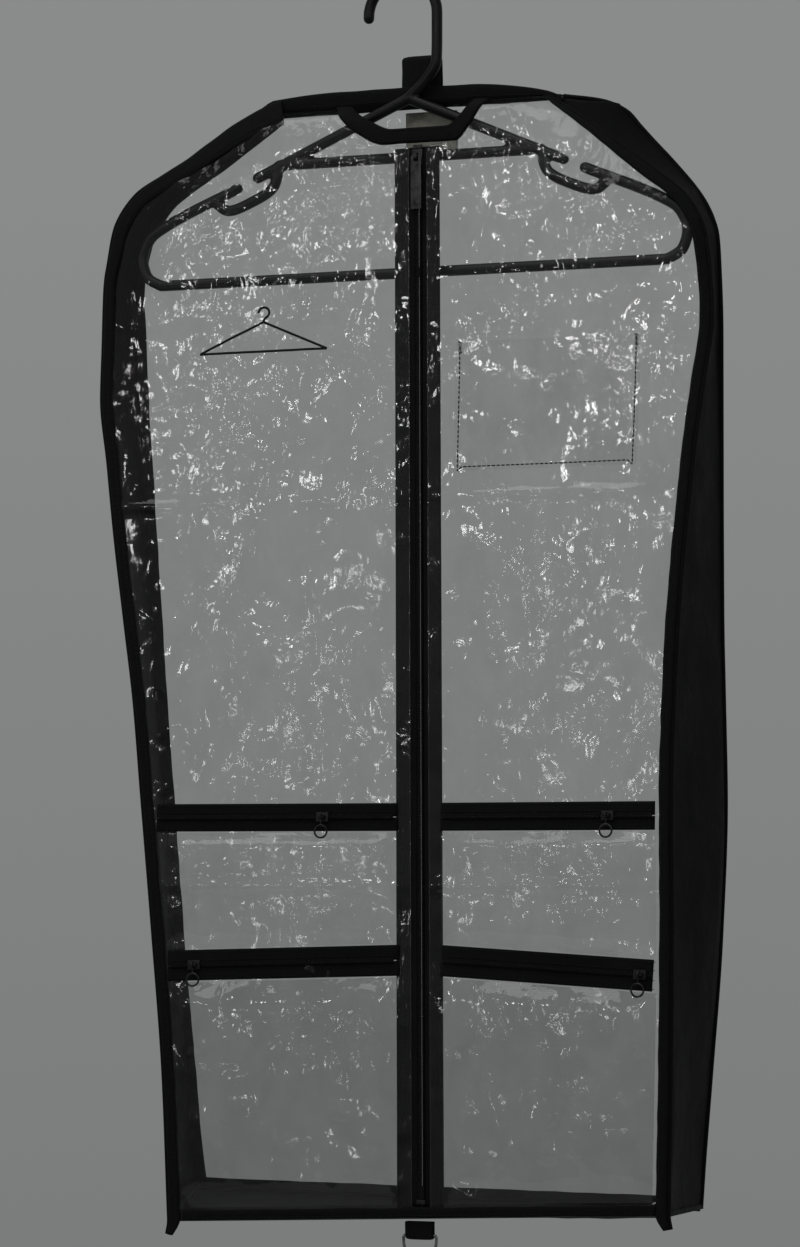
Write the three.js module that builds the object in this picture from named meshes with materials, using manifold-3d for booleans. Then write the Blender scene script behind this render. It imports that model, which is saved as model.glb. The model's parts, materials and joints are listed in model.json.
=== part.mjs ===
// A clear garment bag with a black gusset, hanging on a moulded plastic hanger.
// Millimetres. +X is the viewer's right, +Y is towards the back of the bag, +Z is up.
// The origin is the point inside the hook that rests on the rail.
import * as THREE from "three";
import { mergeVertices } from "three/addons/utils/BufferGeometryUtils.js";
import Module from "manifold-3d";

// ---- Driving dimensions -------------------------------------------------------------------

const GAP = 0.3; // air left between pieces that touch
const SHEET = 1.0; // thickness of every film, fabric and tape solid

// Hanger
const TUBE_RADIUS = 4.2;
const TUBE_SIDES = 8;
const HOOK_INNER_RADIUS = 22.2;
const HOOK_OFFSET_X = -4.5; // the hook's arc sits a little left of the neck
const HANGER_HALF_WIDTH = 210; // to the tube's centre line
const APEX_Z = -85;
const ARM_SLOPE = 0.445;
const NOTCH_INNER_X = 118; // where the arm stops at the strap notch
const NOTCH_OUTER_X = 134; // where it starts again
const UPPER_BAR_Z = -129;
const LOWER_BAR_Z = -215;

// Main zip: a straight line down the front, which leans forward as the bag deepens
const ZIP_TOP = new THREE.Vector3(10.6, -12, -122);
const ZIP_LEAN = new THREE.Vector3(0.0268, -0.0768, -0.9967).normalize();
const ZIP_LENGTH = 770;
const ZIP_TAPE_HALF = 15.5;
const ZIP_SHOW_HALF = 7; // half the width left uncovered between the two films
const COIL_HALF = 2.6;
const COIL_HEIGHT = 1.6;

// Bag
const BACK_Y = 22;
const FILM_TOP_Z = -89;
const BINDING_WIDTH = 8;
const BINDING_LIFT = 2.8; // from the film's outer face to the binding's, where the film curves
const BOTTOM_LEFT_Z = -904; // lower edge of the front at its two corners
const BOTTOM_RIGHT_Z = -890;
const HEM_Z = (BOTTOM_LEFT_Z + BOTTOM_RIGHT_Z) / 2;
const TOP_BINDING_Y = 4.6; // front face of the top edge's binding
const TOP_BINDING_DEPTH = 2.2;
const TOP_GUSSET_Z = -84.5;

// Pocket zips and pockets
const POCKET_TAPE_HALF = 10;
const POCKET_COIL_HALF = 2;
const UPPER_POCKET_Z = -615.5;
const LOWER_POCKET_Z = -717;
const POCKET_BULGE = 7; // how far the pocket film stands off the main film in its middle

// ---- Small helpers --------------------------------------------------------------------------

const V = (x, y, z) => new THREE.Vector3(x, y, z);
const lerp = THREE.MathUtils.lerp;

// Value of a line through [key, value] pairs with falling keys, held constant past its ends.
function along(pairs, key) {
  if (key >= pairs[0][0]) return pairs[0][1];
  for (let i = 1; i < pairs.length; i++) {
    const [k0, v0] = pairs[i - 1];
    const [k1, v1] = pairs[i];
    if (key >= k1) return lerp(v0, v1, (key - k0) / (k1 - k0));
  }
  return pairs[pairs.length - 1][1];
}

function geometryFrom(positions, triangles) {
  const geometry = new THREE.BufferGeometry();
  geometry.setAttribute("position", new THREE.Float32BufferAttribute(positions, 3));
  geometry.setIndex(triangles);
  return geometry;
}

// Six times the signed volume, to find which way a closed surface faces.
function signedVolume(positions, triangles) {
  const corner = (i) => V(...positions.slice(3 * i, 3 * i + 3));
  let sum = 0;
  for (let i = 0; i < triangles.length; i += 3) {
    const [a, b, c] = triangles.slice(i, i + 3).map(corner);
    sum += a.dot(b.cross(c));
  }
  return sum;
}

// A closed sheet: rows of points give one face, and the other face is the same grid moved by
// offset.
function sheet(rows, offset) {
  const rowCount = rows.length;
  const columnCount = rows[0].length;
  const positions = [];
  for (const shift of [V(0, 0, 0), offset])
    for (const row of rows)
      for (const point of row) positions.push(...point.clone().add(shift).toArray());
  const at = (layer, i, j) => layer * rowCount * columnCount + i * columnCount + j;
  const triangles = [];
  const quad = (a, b, c, d) => triangles.push(a, b, c, a, c, d);
  for (let i = 0; i + 1 < rowCount; i++) {
    for (let j = 0; j + 1 < columnCount; j++) {
      quad(at(0, i, j), at(0, i, j + 1), at(0, i + 1, j + 1), at(0, i + 1, j));
      quad(at(1, i, j), at(1, i + 1, j), at(1, i + 1, j + 1), at(1, i, j + 1));
    }
    quad(at(0, i, 0), at(0, i + 1, 0), at(1, i + 1, 0), at(1, i, 0));
    const last = columnCount - 1;
    quad(at(0, i, last), at(1, i, last), at(1, i + 1, last), at(0, i + 1, last));
  }
  for (let j = 0; j + 1 < columnCount; j++) {
    quad(at(0, 0, j), at(1, 0, j), at(1, 0, j + 1), at(0, 0, j + 1));
    const last = rowCount - 1;
    quad(at(0, last, j), at(0, last, j + 1), at(1, last, j + 1), at(1, last, j));
  }
  if (signedVolume(positions, triangles) < 0)
    for (let i = 0; i < triangles.length; i += 3)
      [triangles[i + 1], triangles[i + 2]] = [triangles[i + 2], triangles[i + 1]];
  return geometryFrom(positions, triangles);
}

// A box given by its low and high corners.
function box(low, high) {
  const size = [0, 1, 2].map((k) => high[k] - low[k]);
  const middle = [0, 1, 2].map((k) => (high[k] + low[k]) / 2);
  return new THREE.BoxGeometry(...size).translate(...middle);
}

// A flat outline in the local XY plane, extruded from z0 to z1.
function plate(shape, z0, z1, curveSegments = 6) {
  const options = { depth: z1 - z0, bevelEnabled: false, curveSegments };
  return new THREE.ExtrudeGeometry(shape, options).translate(0, 0, z0);
}

const wasm = await Module();
wasm.setup();

function solid(geometry) {
  const bare = geometry.index ? geometry.clone() : mergeVertices(geometry.clone());
  bare.deleteAttribute("normal");
  bare.deleteAttribute("uv");
  const merged = mergeVertices(bare, 1e-4);
  return new wasm.Manifold(
    new wasm.Mesh({
      numProp: 3,
      vertProperties: merged.attributes.position.array,
      triVerts: new Uint32Array(merged.index.array),
    }),
  );
}

function join(...geometries) {
  const whole = geometries.map(solid).reduce((sum, next) => sum.add(next));
  const mesh = whole.getMesh();
  return geometryFrom(Array.from(mesh.vertProperties), Array.from(mesh.triVerts));
}

// ---- Materials and assembly -------------------------------------------------------------------

const looks = {
  film: { color: 0xe8ecee, roughness: 0.12, metalness: 0, transparent: true, opacity: 0.3 },
  nylon: { color: 0x16171a, roughness: 0.85, metalness: 0 },
  webbing: { color: 0x131416, roughness: 0.8, metalness: 0 },
  tape: { color: 0x17181b, roughness: 0.85, metalness: 0 },
  coil: { color: 0x1d1e21, roughness: 0.45, metalness: 0 },
  hanger: { color: 0x24262a, roughness: 0.4, metalness: 0 },
  slider: { color: 0x1a1b1e, roughness: 0.35, metalness: 0.6 },
  steel: { color: 0x8b8d90, roughness: 0.3, metalness: 1 },
  label: { color: 0xb9b6a8, roughness: 0.8, metalness: 0 },
};

const group = new THREE.Group();

function addPiece(name, look, geometry, parent = group) {
  const mesh = new THREE.Mesh(geometry, new THREE.MeshStandardMaterial(looks[look]));
  mesh.name = name;
  parent.add(mesh);
}

// ---- Hanger -----------------------------------------------------------------------------------

function tube(points, steps, curved = true) {
  const circle = new THREE.Shape();
  for (let i = 0; i < TUBE_SIDES; i++) {
    const angle = (2 * Math.PI * (i + 0.5)) / TUBE_SIDES;
    const x = TUBE_RADIUS * Math.cos(angle);
    const y = TUBE_RADIUS * Math.sin(angle);
    if (i === 0) circle.moveTo(x, y);
    else circle.lineTo(x, y);
  }
  const extrudePath = curved
    ? new THREE.CatmullRomCurve3(points, false, "centripetal")
    : new THREE.LineCurve3(points[0], points[1]);
  return new THREE.ExtrudeGeometry(circle, { steps, extrudePath, bevelEnabled: false });
}

function ball(center) {
  return new THREE.SphereGeometry(TUBE_RADIUS, TUBE_SIDES, 5).translate(...center.toArray());
}

function makeHanger() {
  const hookRadius = HOOK_INNER_RADIUS + TUBE_RADIUS;
  const hookDrop = Math.sqrt(HOOK_INNER_RADIUS ** 2 - HOOK_OFFSET_X ** 2);
  const hookCenter = V(HOOK_OFFSET_X, 0, -hookDrop);
  const tipAngle = 183;
  const arcSteps = 12;
  const hook = [];
  for (let i = 0; i <= arcSteps; i++) {
    const angle = THREE.MathUtils.degToRad(lerp(tipAngle, 0, i / arcSteps));
    const ray = V(Math.cos(angle), 0, Math.sin(angle));
    hook.push(hookCenter.clone().addScaledVector(ray, hookRadius));
  }
  const shankX = hookCenter.x + hookRadius;
  hook.push(V(shankX, 0, -42), V(shankX - 0.5, 0, -58), V(shankX - 7, 0, -70));
  const apex = V(0, 0, APEX_Z);
  hook.push(apex.clone());

  const pieces = [tube(hook, 24), ball(hook[0]), ball(apex)];
  const armZ = (x) => APEX_Z - ARM_SLOPE * x;
  for (const side of [-1, 1]) {
    const armEnd = V(side * NOTCH_INNER_X, 0, armZ(NOTCH_INNER_X));
    const outer = [
      V(side * NOTCH_OUTER_X, 0, armZ(NOTCH_OUTER_X)),
      V(side * (HANGER_HALF_WIDTH - 17), 0, -171),
      V(side * (HANGER_HALF_WIDTH - 6), 0, -179),
      V(side * HANGER_HALF_WIDTH, 0, -194),
      V(side * (HANGER_HALF_WIDTH - 4), 0, -208),
      V(side * (HANGER_HALF_WIDTH - 15), 0, LOWER_BAR_Z),
    ];
    const bridge = [
      V(side * 101, 0, UPPER_BAR_Z),
      V(side * 105, 0, -144),
      V(side * 122, 0, -155),
      V(side * 141, 0, -161),
      V(side * 153, 0, armZ(153)),
    ];
    pieces.push(tube([apex, armEnd], 1, false), ball(armEnd));
    pieces.push(tube(outer, 10), ball(outer[0]), ball(outer[5]));
    pieces.push(tube(bridge, 8), ball(bridge[0]), ball(bridge[4]));
  }
  const barHalf = HANGER_HALF_WIDTH - 15;
  pieces.push(tube([V(-101, 0, UPPER_BAR_Z), V(101, 0, UPPER_BAR_Z)], 1, false));
  pieces.push(tube([V(-barHalf, 0, LOWER_BAR_Z), V(barHalf, 0, LOWER_BAR_Z)], 1, false));
  return join(...pieces);
}

// ---- Shape of the bag -------------------------------------------------------------------------

// Front seam, where the films meet the gusset, from the top corners down to the hem: [z, x, y].
const FRONT_SEAM = {
  left: [
    [-89, -108, 4.5], [-98, -130, 3], [-124, -176, 0], [-146, -214, -4], [-172, -230, -6],
    [-210, -236, -9], [-300, -233, -22], [-410, -214, -40], [-530, -192, -56], [-700, -172, -67],
    [-800, -162, -71], [-904, -156, -73],
  ],
  right: [
    [-89, 104, 4.5], [-101, 122, 2], [-122, 150, -1], [-155, 192, -4], [-181, 220, -6],
    [-215, 226, -9], [-263, 230, -16], [-352, 222, -38], [-450, 215, -56], [-570, 210, -66],
    [-740, 211, -71], [-890, 208, -73],
  ],
};

// Back seam, where the back film meets the gusset: [z, x]. It lies in the plane y = BACK_Y.
const BACK_SEAM = {
  left: [
    [-86, -110], [-105, -138], [-130, -176], [-152, -208], [-180, -221], [-213, -226],
    [-300, -222], [-525, -206], [-720, -190], [-861, -176], [-889, -172],
  ],
  right: [
    [-86, 112], [-94, 154], [-122, 178], [-147, 200], [-172, 218], [-191, 226], [-235, 229],
    [-459, 228], [-612, 230], [-717, 225], [-852, 213], [-893, 210],
  ],
};

// Depth of the front film on the centre line above the zip: it passes over the hanger's arms.
const YOKE_Y = [
  [-89, 4.5], [-92, 0], [-94, -4.5], [-96, -7.5], [-99, -8.5], [-104, -9.5], [-112, -11],
  [-122, -12],
];

// The neck opening's trim: [z, x] of its outer and inner outline on each side.
const TRIM_OUTER = {
  left: [[-89, -58], [-98, -51], [-111, -37], [-121, -16]],
  right: [[-89, 62], [-97, 57], [-109, 50], [-121, 39]],
};
const TRIM_INNER = {
  left: [[-89, -45], [-94, -38.5], [-103, -25], [-109, -10]],
  right: [[-89, 49], [-94.5, 45.5], [-103, 40], [-109, 31]],
};

const sides = { left: -1, right: 1 };
const seamX = (side, z) => along(FRONT_SEAM[side].map(([k, x]) => [k, x]), z);
const seamY = (side, z) => along(FRONT_SEAM[side].map(([k, , y]) => [k, y]), z);
const backX = (side, z) => along(BACK_SEAM[side], z);

function zipPoint(z) {
  const run = (z - ZIP_TOP.z) / ZIP_LEAN.z;
  return ZIP_TOP.clone().addScaledVector(ZIP_LEAN, Math.max(run, 0));
}

// Lower edge of the front: it falls a little from right to left.
function hemZ(x) {
  const from = seamX("left", BOTTOM_LEFT_Z);
  const to = seamX("right", BOTTOM_RIGHT_Z);
  return lerp(BOTTOM_LEFT_Z, BOTTOM_RIGHT_Z, (x - from) / (to - from));
}

// Outer face of the front at x and z. Near the shoulders the film stays forward of the hanger
// almost to the seam; lower down it runs straight from the zip to the seam.
function frontY(x, z) {
  const middle = zipPoint(z);
  const side = x < middle.x ? "left" : "right";
  const middleY = z > ZIP_TOP.z ? along(YOKE_Y, z) : middle.y;
  const reach = Math.min(Math.abs((x - middle.x) / (seamX(side, z) - middle.x)), 1);
  const power = along([[-230, 6], [-400, 1]], z);
  return lerp(middleY, seamY(side, z), reach ** power);
}

// A point on the front, moved outwards by a distance.
const onFront = (x, z, out = 0) => V(x, frontY(x, z) - out, z);

const LEVELS = [
  -89, -92, -94, -96, -99, -104, -112, -121, -124, -146, -172, -195, -215, -263, -300, -352, -410,
  -470, -530, -600, -700, -800,
];

// ---- Film panels ------------------------------------------------------------------------------

// Inner edge of a front film: the neck trim above, the zip's gap below.
function innerEdgeX(side, z) {
  const sign = sides[side];
  if (z > ZIP_TOP.z) return along(TRIM_OUTER[side], z) + sign * 4 * GAP;
  return zipPoint(z).x + sign * ZIP_SHOW_HALF;
}

function frontFilm(side) {
  const fractions = [0, 0.3, 0.6, 0.8, 0.92, 1];
  const rows = LEVELS.map((z) => {
    const from = innerEdgeX(side, z);
    const to = seamX(side, z) - sides[side] * GAP;
    return fractions.map((t) => lerp(from, to, t)).map((x) => onFront(x, z));
  });
  const hem = fractions.map((t) => {
    const from = innerEdgeX(side, HEM_Z);
    const x = lerp(from, seamX(side, HEM_Z) - sides[side] * GAP, t);
    return onFront(x, hemZ(x) + GAP);
  });
  return sheet([...rows, hem], V(0, SHEET, 0));
}

// Where the back seam ends at the hem: [z, x].
const backEnd = (side) => BACK_SEAM[side][BACK_SEAM[side].length - 1];

function backFilm() {
  const top = BACK_SEAM.left[0][0];
  const lastLevel = -860;
  const levels = [...LEVELS.filter((z) => z < top), lastLevel];
  const row = (leftZ, rightZ) => {
    const from = backX("left", leftZ) + GAP;
    const to = backX("right", rightZ) - GAP;
    return [0, 0.5, 1].map((t) => V(lerp(from, to, t), BACK_Y, lerp(leftZ, rightZ, t)));
  };
  const hem = row(backEnd("left")[0], backEnd("right")[0]);
  return sheet([row(top, top), ...levels.map((z) => row(z, z)), hem], V(0, SHEET, 0));
}

// ---- Gusset -----------------------------------------------------------------------------------

function sideGusset(side) {
  const inward = V(-sides[side] * SHEET, 0, -0.6 * SHEET);
  const row = (z, backZ) => [
    V(seamX(side, z), seamY(side, z) + SHEET + GAP, z),
    V(backX(side, backZ), BACK_Y - GAP, backZ),
  ];
  const hem = side === "left" ? BOTTOM_LEFT_Z : BOTTOM_RIGHT_Z;
  const lastLevel = -850;
  const rows = [...LEVELS.slice(1), lastLevel].map((z) => row(z, z));
  rows.push(row(hem + 3 * SHEET, backEnd(side)[0] + 3 * SHEET));
  return sheet(rows, inward);
}

function topGusset() {
  const backEdge = BACK_Y - GAP;
  const frontEdge = TOP_BINDING_Y + TOP_BINDING_DEPTH + GAP;
  const xs = [-106, -50, 0, 50, 103];
  const rows = xs.map((x) => [frontEdge, backEdge].map((y) => V(x, y, TOP_GUSSET_Z)));
  return sheet(rows, V(0, 0, -SHEET));
}

function bottomGusset() {
  const leftX = seamX("left", BOTTOM_LEFT_Z) + GAP;
  const rightX = seamX("right", BOTTOM_RIGHT_Z) - GAP;
  const rows = [0, 0.25, 0.5, 0.75, 1].map((t) => {
    const x = lerp(leftX, rightX, t);
    const backEdgeX = lerp(backEnd("left")[1] + SHEET, backEnd("right")[1] - SHEET, t);
    const backEdgeZ = lerp(backEnd("left")[0], backEnd("right")[0], t);
    return [V(x, frontY(x, hemZ(x)) + SHEET + GAP, hemZ(x)), V(backEdgeX, BACK_Y - GAP, backEdgeZ)];
  });
  return sheet(rows, V(0, 0, SHEET));
}

// ---- Bindings ---------------------------------------------------------------------------------

// Unit vector in the XZ plane from an outline towards the inside of the bag.
function inwardFrom(outline, i, side) {
  const before = outline[Math.max(i - 1, 0)];
  const after = outline[Math.min(i + 1, outline.length - 1)];
  const run = V(after.x - before.x, 0, after.z - before.z).normalize();
  return side === "left" ? V(-run.z, 0, run.x) : V(run.z, 0, -run.x);
}

function frontBinding(side) {
  const hem = side === "left" ? BOTTOM_LEFT_Z : BOTTOM_RIGHT_Z;
  const levels = [...LEVELS.filter((z) => z > -94 || z < -96), hem];
  const outline = levels.map((z) => V(seamX(side, z), seamY(side, z), z));
  outline.push(outline[outline.length - 1].clone().add(V(sides[side] * 1.5, 0, -9)));
  const rows = outline.map((point, i) => {
    const width = i === outline.length - 1 ? BINDING_WIDTH / 2 : BINDING_WIDTH;
    const inner = point.clone().addScaledVector(inwardFrom(outline, i, side), width);
    const innerZ = Math.min(inner.z, FILM_TOP_Z);
    const innerY = frontY(inner.x, innerZ);
    return [V(point.x, point.y - BINDING_LIFT, point.z), V(inner.x, innerY - BINDING_LIFT, innerZ)];
  });
  return sheet(rows, V(0, SHEET, 0));
}

function topBinding() {
  const topEdge = [[-107, -77], [-60, -75], [0, -75], [60, -77], [102, -82]];
  const rows = topEdge.map(([x, z]) => [z, FILM_TOP_Z + GAP].map((end) => V(x, TOP_BINDING_Y, end)));
  return sheet(rows, V(0, TOP_BINDING_DEPTH, 0));
}

function bottomBinding() {
  const fromX = seamX("left", HEM_Z) + BINDING_WIDTH + 2;
  const toX = seamX("right", HEM_Z) - BINDING_WIDTH - 2;
  const rows = [0, 0.25, 0.5, 0.75, 1].map((t) => {
    const x = lerp(fromX, toX, t);
    return [1, BINDING_WIDTH].map((up) => onFront(x, hemZ(x) + up, BINDING_LIFT));
  });
  return sheet(rows, V(0, SHEET, 0));
}

function backBinding(side) {
  const outline = BACK_SEAM[side].map(([z, x]) => V(x, BACK_Y + SHEET + GAP, z));
  const rows = outline.map((point, i) => {
    const inner = point.clone().addScaledVector(inwardFrom(outline, i, side), BINDING_WIDTH);
    inner.z = Math.min(inner.z, BACK_SEAM.left[0][0]);
    return [point, inner];
  });
  return sheet(rows, V(0, SHEET, 0));
}

function backEdgeBinding(pairs) {
  const y = BACK_Y + 2 * (SHEET + GAP);
  const rows = pairs.map(([x, z]) => [V(x, y, z), V(x, y, z - BINDING_WIDTH)]);
  return sheet(rows, V(0, SHEET, 0));
}

// The neck opening's binding: down one side, across above the zip, and up the other side.
function openingTrim() {
  const pairs = [];
  TRIM_OUTER.left.forEach((outer, i) => pairs.push([outer, TRIM_INNER.left[i]]));
  [...TRIM_OUTER.right].reverse().forEach((outer, i) => {
    const inner = [...TRIM_INNER.right].reverse()[i];
    pairs.push([outer, inner]);
  });
  const rows = pairs.map((pair) => pair.map(([z, x]) => V(x, along(YOKE_Y, z) - 0.8, z)));
  return sheet(rows, V(0, 2.4, 0));
}

// ---- Zips -------------------------------------------------------------------------------------

// A group whose x runs along xAxis, whose z points out of the bag, and whose y points up.
function frame(origin, xAxis, upHint) {
  const x = xAxis.clone().normalize();
  const z = V(0, 0, 0).crossVectors(x, upHint).normalize();
  const y = V(0, 0, 0).crossVectors(z, x);
  const holder = new THREE.Group();
  holder.quaternion.setFromRotationMatrix(new THREE.Matrix4().makeBasis(x, y, z));
  holder.position.copy(origin);
  group.add(holder);
  return holder;
}

// A slider: a channel over the coil with an arch on top that holds the pull. Local x is across
// the coil, y is along it and z is outwards; base is the height of the channel's inner roof and
// rise is how high the arch's inside stands above its feet.
function sliderGeometry(coilHalf, base, length, rise) {
  const wall = 1;
  const inner = coilHalf + GAP;
  const roof = box([-inner - wall, -length / 2, base], [inner + wall, length / 2, base + 0.8]);
  const cheek = (sign) => {
    const xs = [sign * inner, sign * (inner + wall)].sort((a, b) => a - b);
    return box([xs[0], -length / 2, base - 1.3], [xs[1], length / 2, base + 0.1]);
  };
  const arch = new THREE.Shape();
  arch.moveTo(-2.4, 0).lineTo(-2.4, rise + 0.2).lineTo(-1.6, rise + 1.2);
  arch.lineTo(1.6, rise + 1.2).lineTo(2.4, rise + 0.2).lineTo(2.4, 0);
  arch.lineTo(1.4, 0).lineTo(1.4, rise).lineTo(-1.4, rise).lineTo(-1.4, 0);
  const loop = plate(arch, -1.1, 1.1);
  // The arch's outline runs along the coil and rises outwards.
  loop.applyMatrix4(new THREE.Matrix4().makeBasis(V(0, 1, 0), V(0, 0, 1), V(1, 0, 0)));
  loop.translate(0, 0, base + 0.7);
  return join(roof, cheek(-1), cheek(1), loop);
}

// How high the inside of each slider's arch stands, and the heights above the channel's inner
// roof of the main pull's hinge line and of the pocket arch's top bar.
const MAIN_ARCH_RISE = 3.8;
const POCKET_ARCH_RISE = 2.4;
const PIVOT_ABOVE_BASE = 3.5;
const ARCH_BAR_ABOVE_BASE = 3.7;

// A flat eye that hangs from a slider's arch, its hinge line along local x through the origin.
function eyeShape(halfWidth, length) {
  const shape = new THREE.Shape();
  shape.moveTo(-halfWidth, -length).lineTo(halfWidth, -length);
  shape.lineTo(halfWidth, -0.2).lineTo(halfWidth - 0.8, 0.6);
  shape.lineTo(-halfWidth + 0.8, 0.6).lineTo(-halfWidth, -0.2).closePath();
  const hole = new THREE.Path();
  hole.moveTo(-1.7, -0.6).lineTo(-1.7, -4.2).lineTo(1.7, -4.2).lineTo(1.7, -0.6).closePath();
  shape.holes.push(hole);
  return shape;
}

function tapePiece(name, x0, x1, y0, y1, z0, parent) {
  addPiece(name, "tape", box([x0, y0, z0], [x1, y1, z0 + SHEET]), parent);
}

function mainZip() {
  const up = ZIP_LEAN.clone().negate();
  const across = V(1, 0, 0).addScaledVector(up, -up.x);
  const holder = frame(ZIP_TOP, across, up);
  const tapeZ = -2 * SHEET - 2 * GAP;
  const coilZ = tapeZ + SHEET + GAP;
  const half = ZIP_TAPE_HALF;
  tapePiece("zip_tape_left", -half, -GAP, -ZIP_LENGTH, 0, tapeZ, holder);
  tapePiece("zip_tape_right", GAP, half, -ZIP_LENGTH, 0, tapeZ, holder);
  const coilTop = -4;
  const coilBottom = -ZIP_LENGTH + 6;
  for (const side of ["left", "right"]) {
    const [x0, x1] = [sides[side] * 0.15, sides[side] * COIL_HALF].sort((a, b) => a - b);
    const bar = box([x0, coilBottom, coilZ], [x1, coilTop, coilZ + COIL_HEIGHT]);
    addPiece("zip_coil_" + side, "coil", bar, holder);
  }
  const stopHeight = 3;
  const stopHalf = COIL_HALF + 0.6;
  const stop = (y) => box([-stopHalf, y, coilZ], [stopHalf, y + stopHeight, coilZ + 2.2]);
  addPiece("zip_top_stop", "slider", stop(coilTop + GAP), holder);
  addPiece("zip_bottom_stop", "slider", stop(coilBottom - GAP - stopHeight), holder);

  const sliderLength = 12;
  const sliderY = coilTop - sliderLength / 2 - GAP;
  const base = coilZ + COIL_HEIGHT + GAP;
  const slider = sliderGeometry(COIL_HALF, base, sliderLength, MAIN_ARCH_RISE);
  slider.translate(0, sliderY, 0);
  addPiece("main_slider", "slider", slider, holder);
  const pull = plate(eyeShape(4, 40), -0.6, 0.6).translate(0, sliderY, base + PIVOT_ABOVE_BASE);
  addPiece("main_pull", "steel", pull, holder);
}

// A pocket zip lies on the front film from the main zip's tape to the binding. rest is the
// slider's place and drop is how far the outer end hangs below the inner end.
function pocketZip(level, side, z, drop, rest, tapeHalf) {
  const sign = sides[side];
  const innerX = zipPoint(z).x + sign * (ZIP_TAPE_HALF + 1);
  const outerX = seamX(side, z) - sign * (BINDING_WIDTH + 2);
  const inner = onFront(innerX, z);
  const outer = onFront(outerX, z - drop);
  const across = outer.clone().sub(inner).multiplyScalar(sign);
  const middleX = (innerX + outerX) / 2;
  const up = onFront(middleX, z + 40).sub(onFront(middleX, z - 40));
  const holder = frame(inner.clone().add(outer).multiplyScalar(0.5), across, up);
  const half = across.length() / 2;
  const prefix = `${level}_pocket_${side}_`;
  const tapeZ = 0.8;
  tapePiece(prefix + "tape_top", -half, half, GAP, tapeHalf, tapeZ, holder);
  tapePiece(prefix + "tape_bottom", -half, half, -tapeHalf, -GAP, tapeZ, holder);
  const coilZ = tapeZ + SHEET + GAP;
  const coilHeight = 1.4;
  const coilLength = half - 2;
  const low = [-coilLength, -POCKET_COIL_HALF, coilZ];
  const high = [coilLength, POCKET_COIL_HALF, coilZ + coilHeight];
  addPiece(prefix + "coil", "coil", box(low, high), holder);

  const sliderLength = 9;
  const base = coilZ + coilHeight + GAP;
  const restX = (rest - (inner.x + outer.x) / 2) / Math.cos(Math.atan2(across.y, across.x));
  const slider = sliderGeometry(POCKET_COIL_HALF, base, sliderLength, POCKET_ARCH_RISE);
  slider.rotateZ(Math.PI / 2).translate(restX, 0, 0);
  addPiece(prefix + "slider", "slider", slider, holder);
  const pull = ringPull().translate(restX, 0, base + ARCH_BAR_ABOVE_BASE);
  addPiece(prefix + "pull", "steel", pull, holder);
}

// A ring on a short stem, whose small eye goes round the arch's top bar. The hinge line is
// local x through the origin, the middle of that bar.
function ringPull() {
  const eye = new THREE.Shape();
  eye.absarc(0, 0, 2.4, 0, 2 * Math.PI);
  const hole = new THREE.Path();
  hole.absarc(0, 0, 1.6, 0, 2 * Math.PI);
  eye.holes.push(hole);
  const link = plate(eye, -0.6, 0.6, 6).rotateY(Math.PI / 2);
  const stem = box([-0.6, -6.6, -0.6], [0.6, -2, 0.6]);
  const ringRadius = 4.5;
  const ring = new THREE.TorusGeometry(ringRadius, 0.7, 6, 16).translate(0, -6.2 - ringRadius, 0);
  return join(link, stem, ring);
}

// ---- Pockets ----------------------------------------------------------------------------------

// A pocket film stands off the main film in its middle and is flat against it at its borders.
function pocketFilm(side, topAt, bottomAt) {
  const sign = sides[side];
  const columns = [0, 0.12, 0.5, 0.88, 1];
  const rows = [0, 0.12, 0.5, 0.88, 1].map((v) =>
    columns.map((u) => {
      const z0 = lerp(topAt(u), bottomAt(0, u), v);
      const from = zipPoint(z0).x + sign * (ZIP_TAPE_HALF + 1);
      const to = seamX(side, z0) - sign * (BINDING_WIDTH + 2);
      const x = lerp(from, to, u);
      const z = lerp(topAt(u), bottomAt(x, u), v);
      const inside = u > 0 && u < 1 && v > 0 && v < 1;
      return onFront(x, z, inside ? POCKET_BULGE + SHEET : 2 * SHEET);
    }),
  );
  return sheet(rows, V(0, SHEET, 0));
}

function cardPocket() {
  const out = 2 * SHEET + GAP;
  const rows = [-272, -320, -367].map((z) => [44, 113, 181].map((x) => onFront(x, z, out)));
  return sheet(rows, V(0, SHEET, 0));
}

// ---- Small trims ------------------------------------------------------------------------------

// A strap folded over itself, seen from its edge: legs up from the fold at foldZ to endZ.
function foldedStrap({ x0, x1, y0, inner, thickness, foldZ, endZ }) {
  const middleY = y0 + thickness + inner;
  const direction = Math.sign(foldZ - endZ);
  const steps = 8;
  const ray = (radius, i) => {
    const angle = (Math.PI * i) / steps;
    const y = middleY - radius * Math.cos(angle);
    return [y, foldZ - direction * (inner + thickness) + direction * radius * Math.sin(angle)];
  };
  const outline = [[y0, endZ]];
  for (let i = 0; i <= steps; i++) outline.push(ray(inner + thickness, i));
  outline.push([middleY + inner + thickness, endZ], [middleY + inner, endZ]);
  for (let i = steps; i >= 0; i--) outline.push(ray(inner, i));
  outline.push([middleY - inner, endZ]);
  const shape = new THREE.Shape(outline.map(([y, z]) => new THREE.Vector2(y, z)));
  const strap = plate(shape, x0, x1);
  strap.applyMatrix4(new THREE.Matrix4().makeBasis(V(0, 1, 0), V(0, 0, 1), V(1, 0, 0)));
  return strap;
}

const HANG_LOOP = { x0: -8, x1: 22, y0: 7.1, inner: 2.6, thickness: 2, foldZ: -51, endZ: -83 };
const CARE_LABEL = { low: [-8, 18, -128], high: [32, 18.8, -92] };

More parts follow.
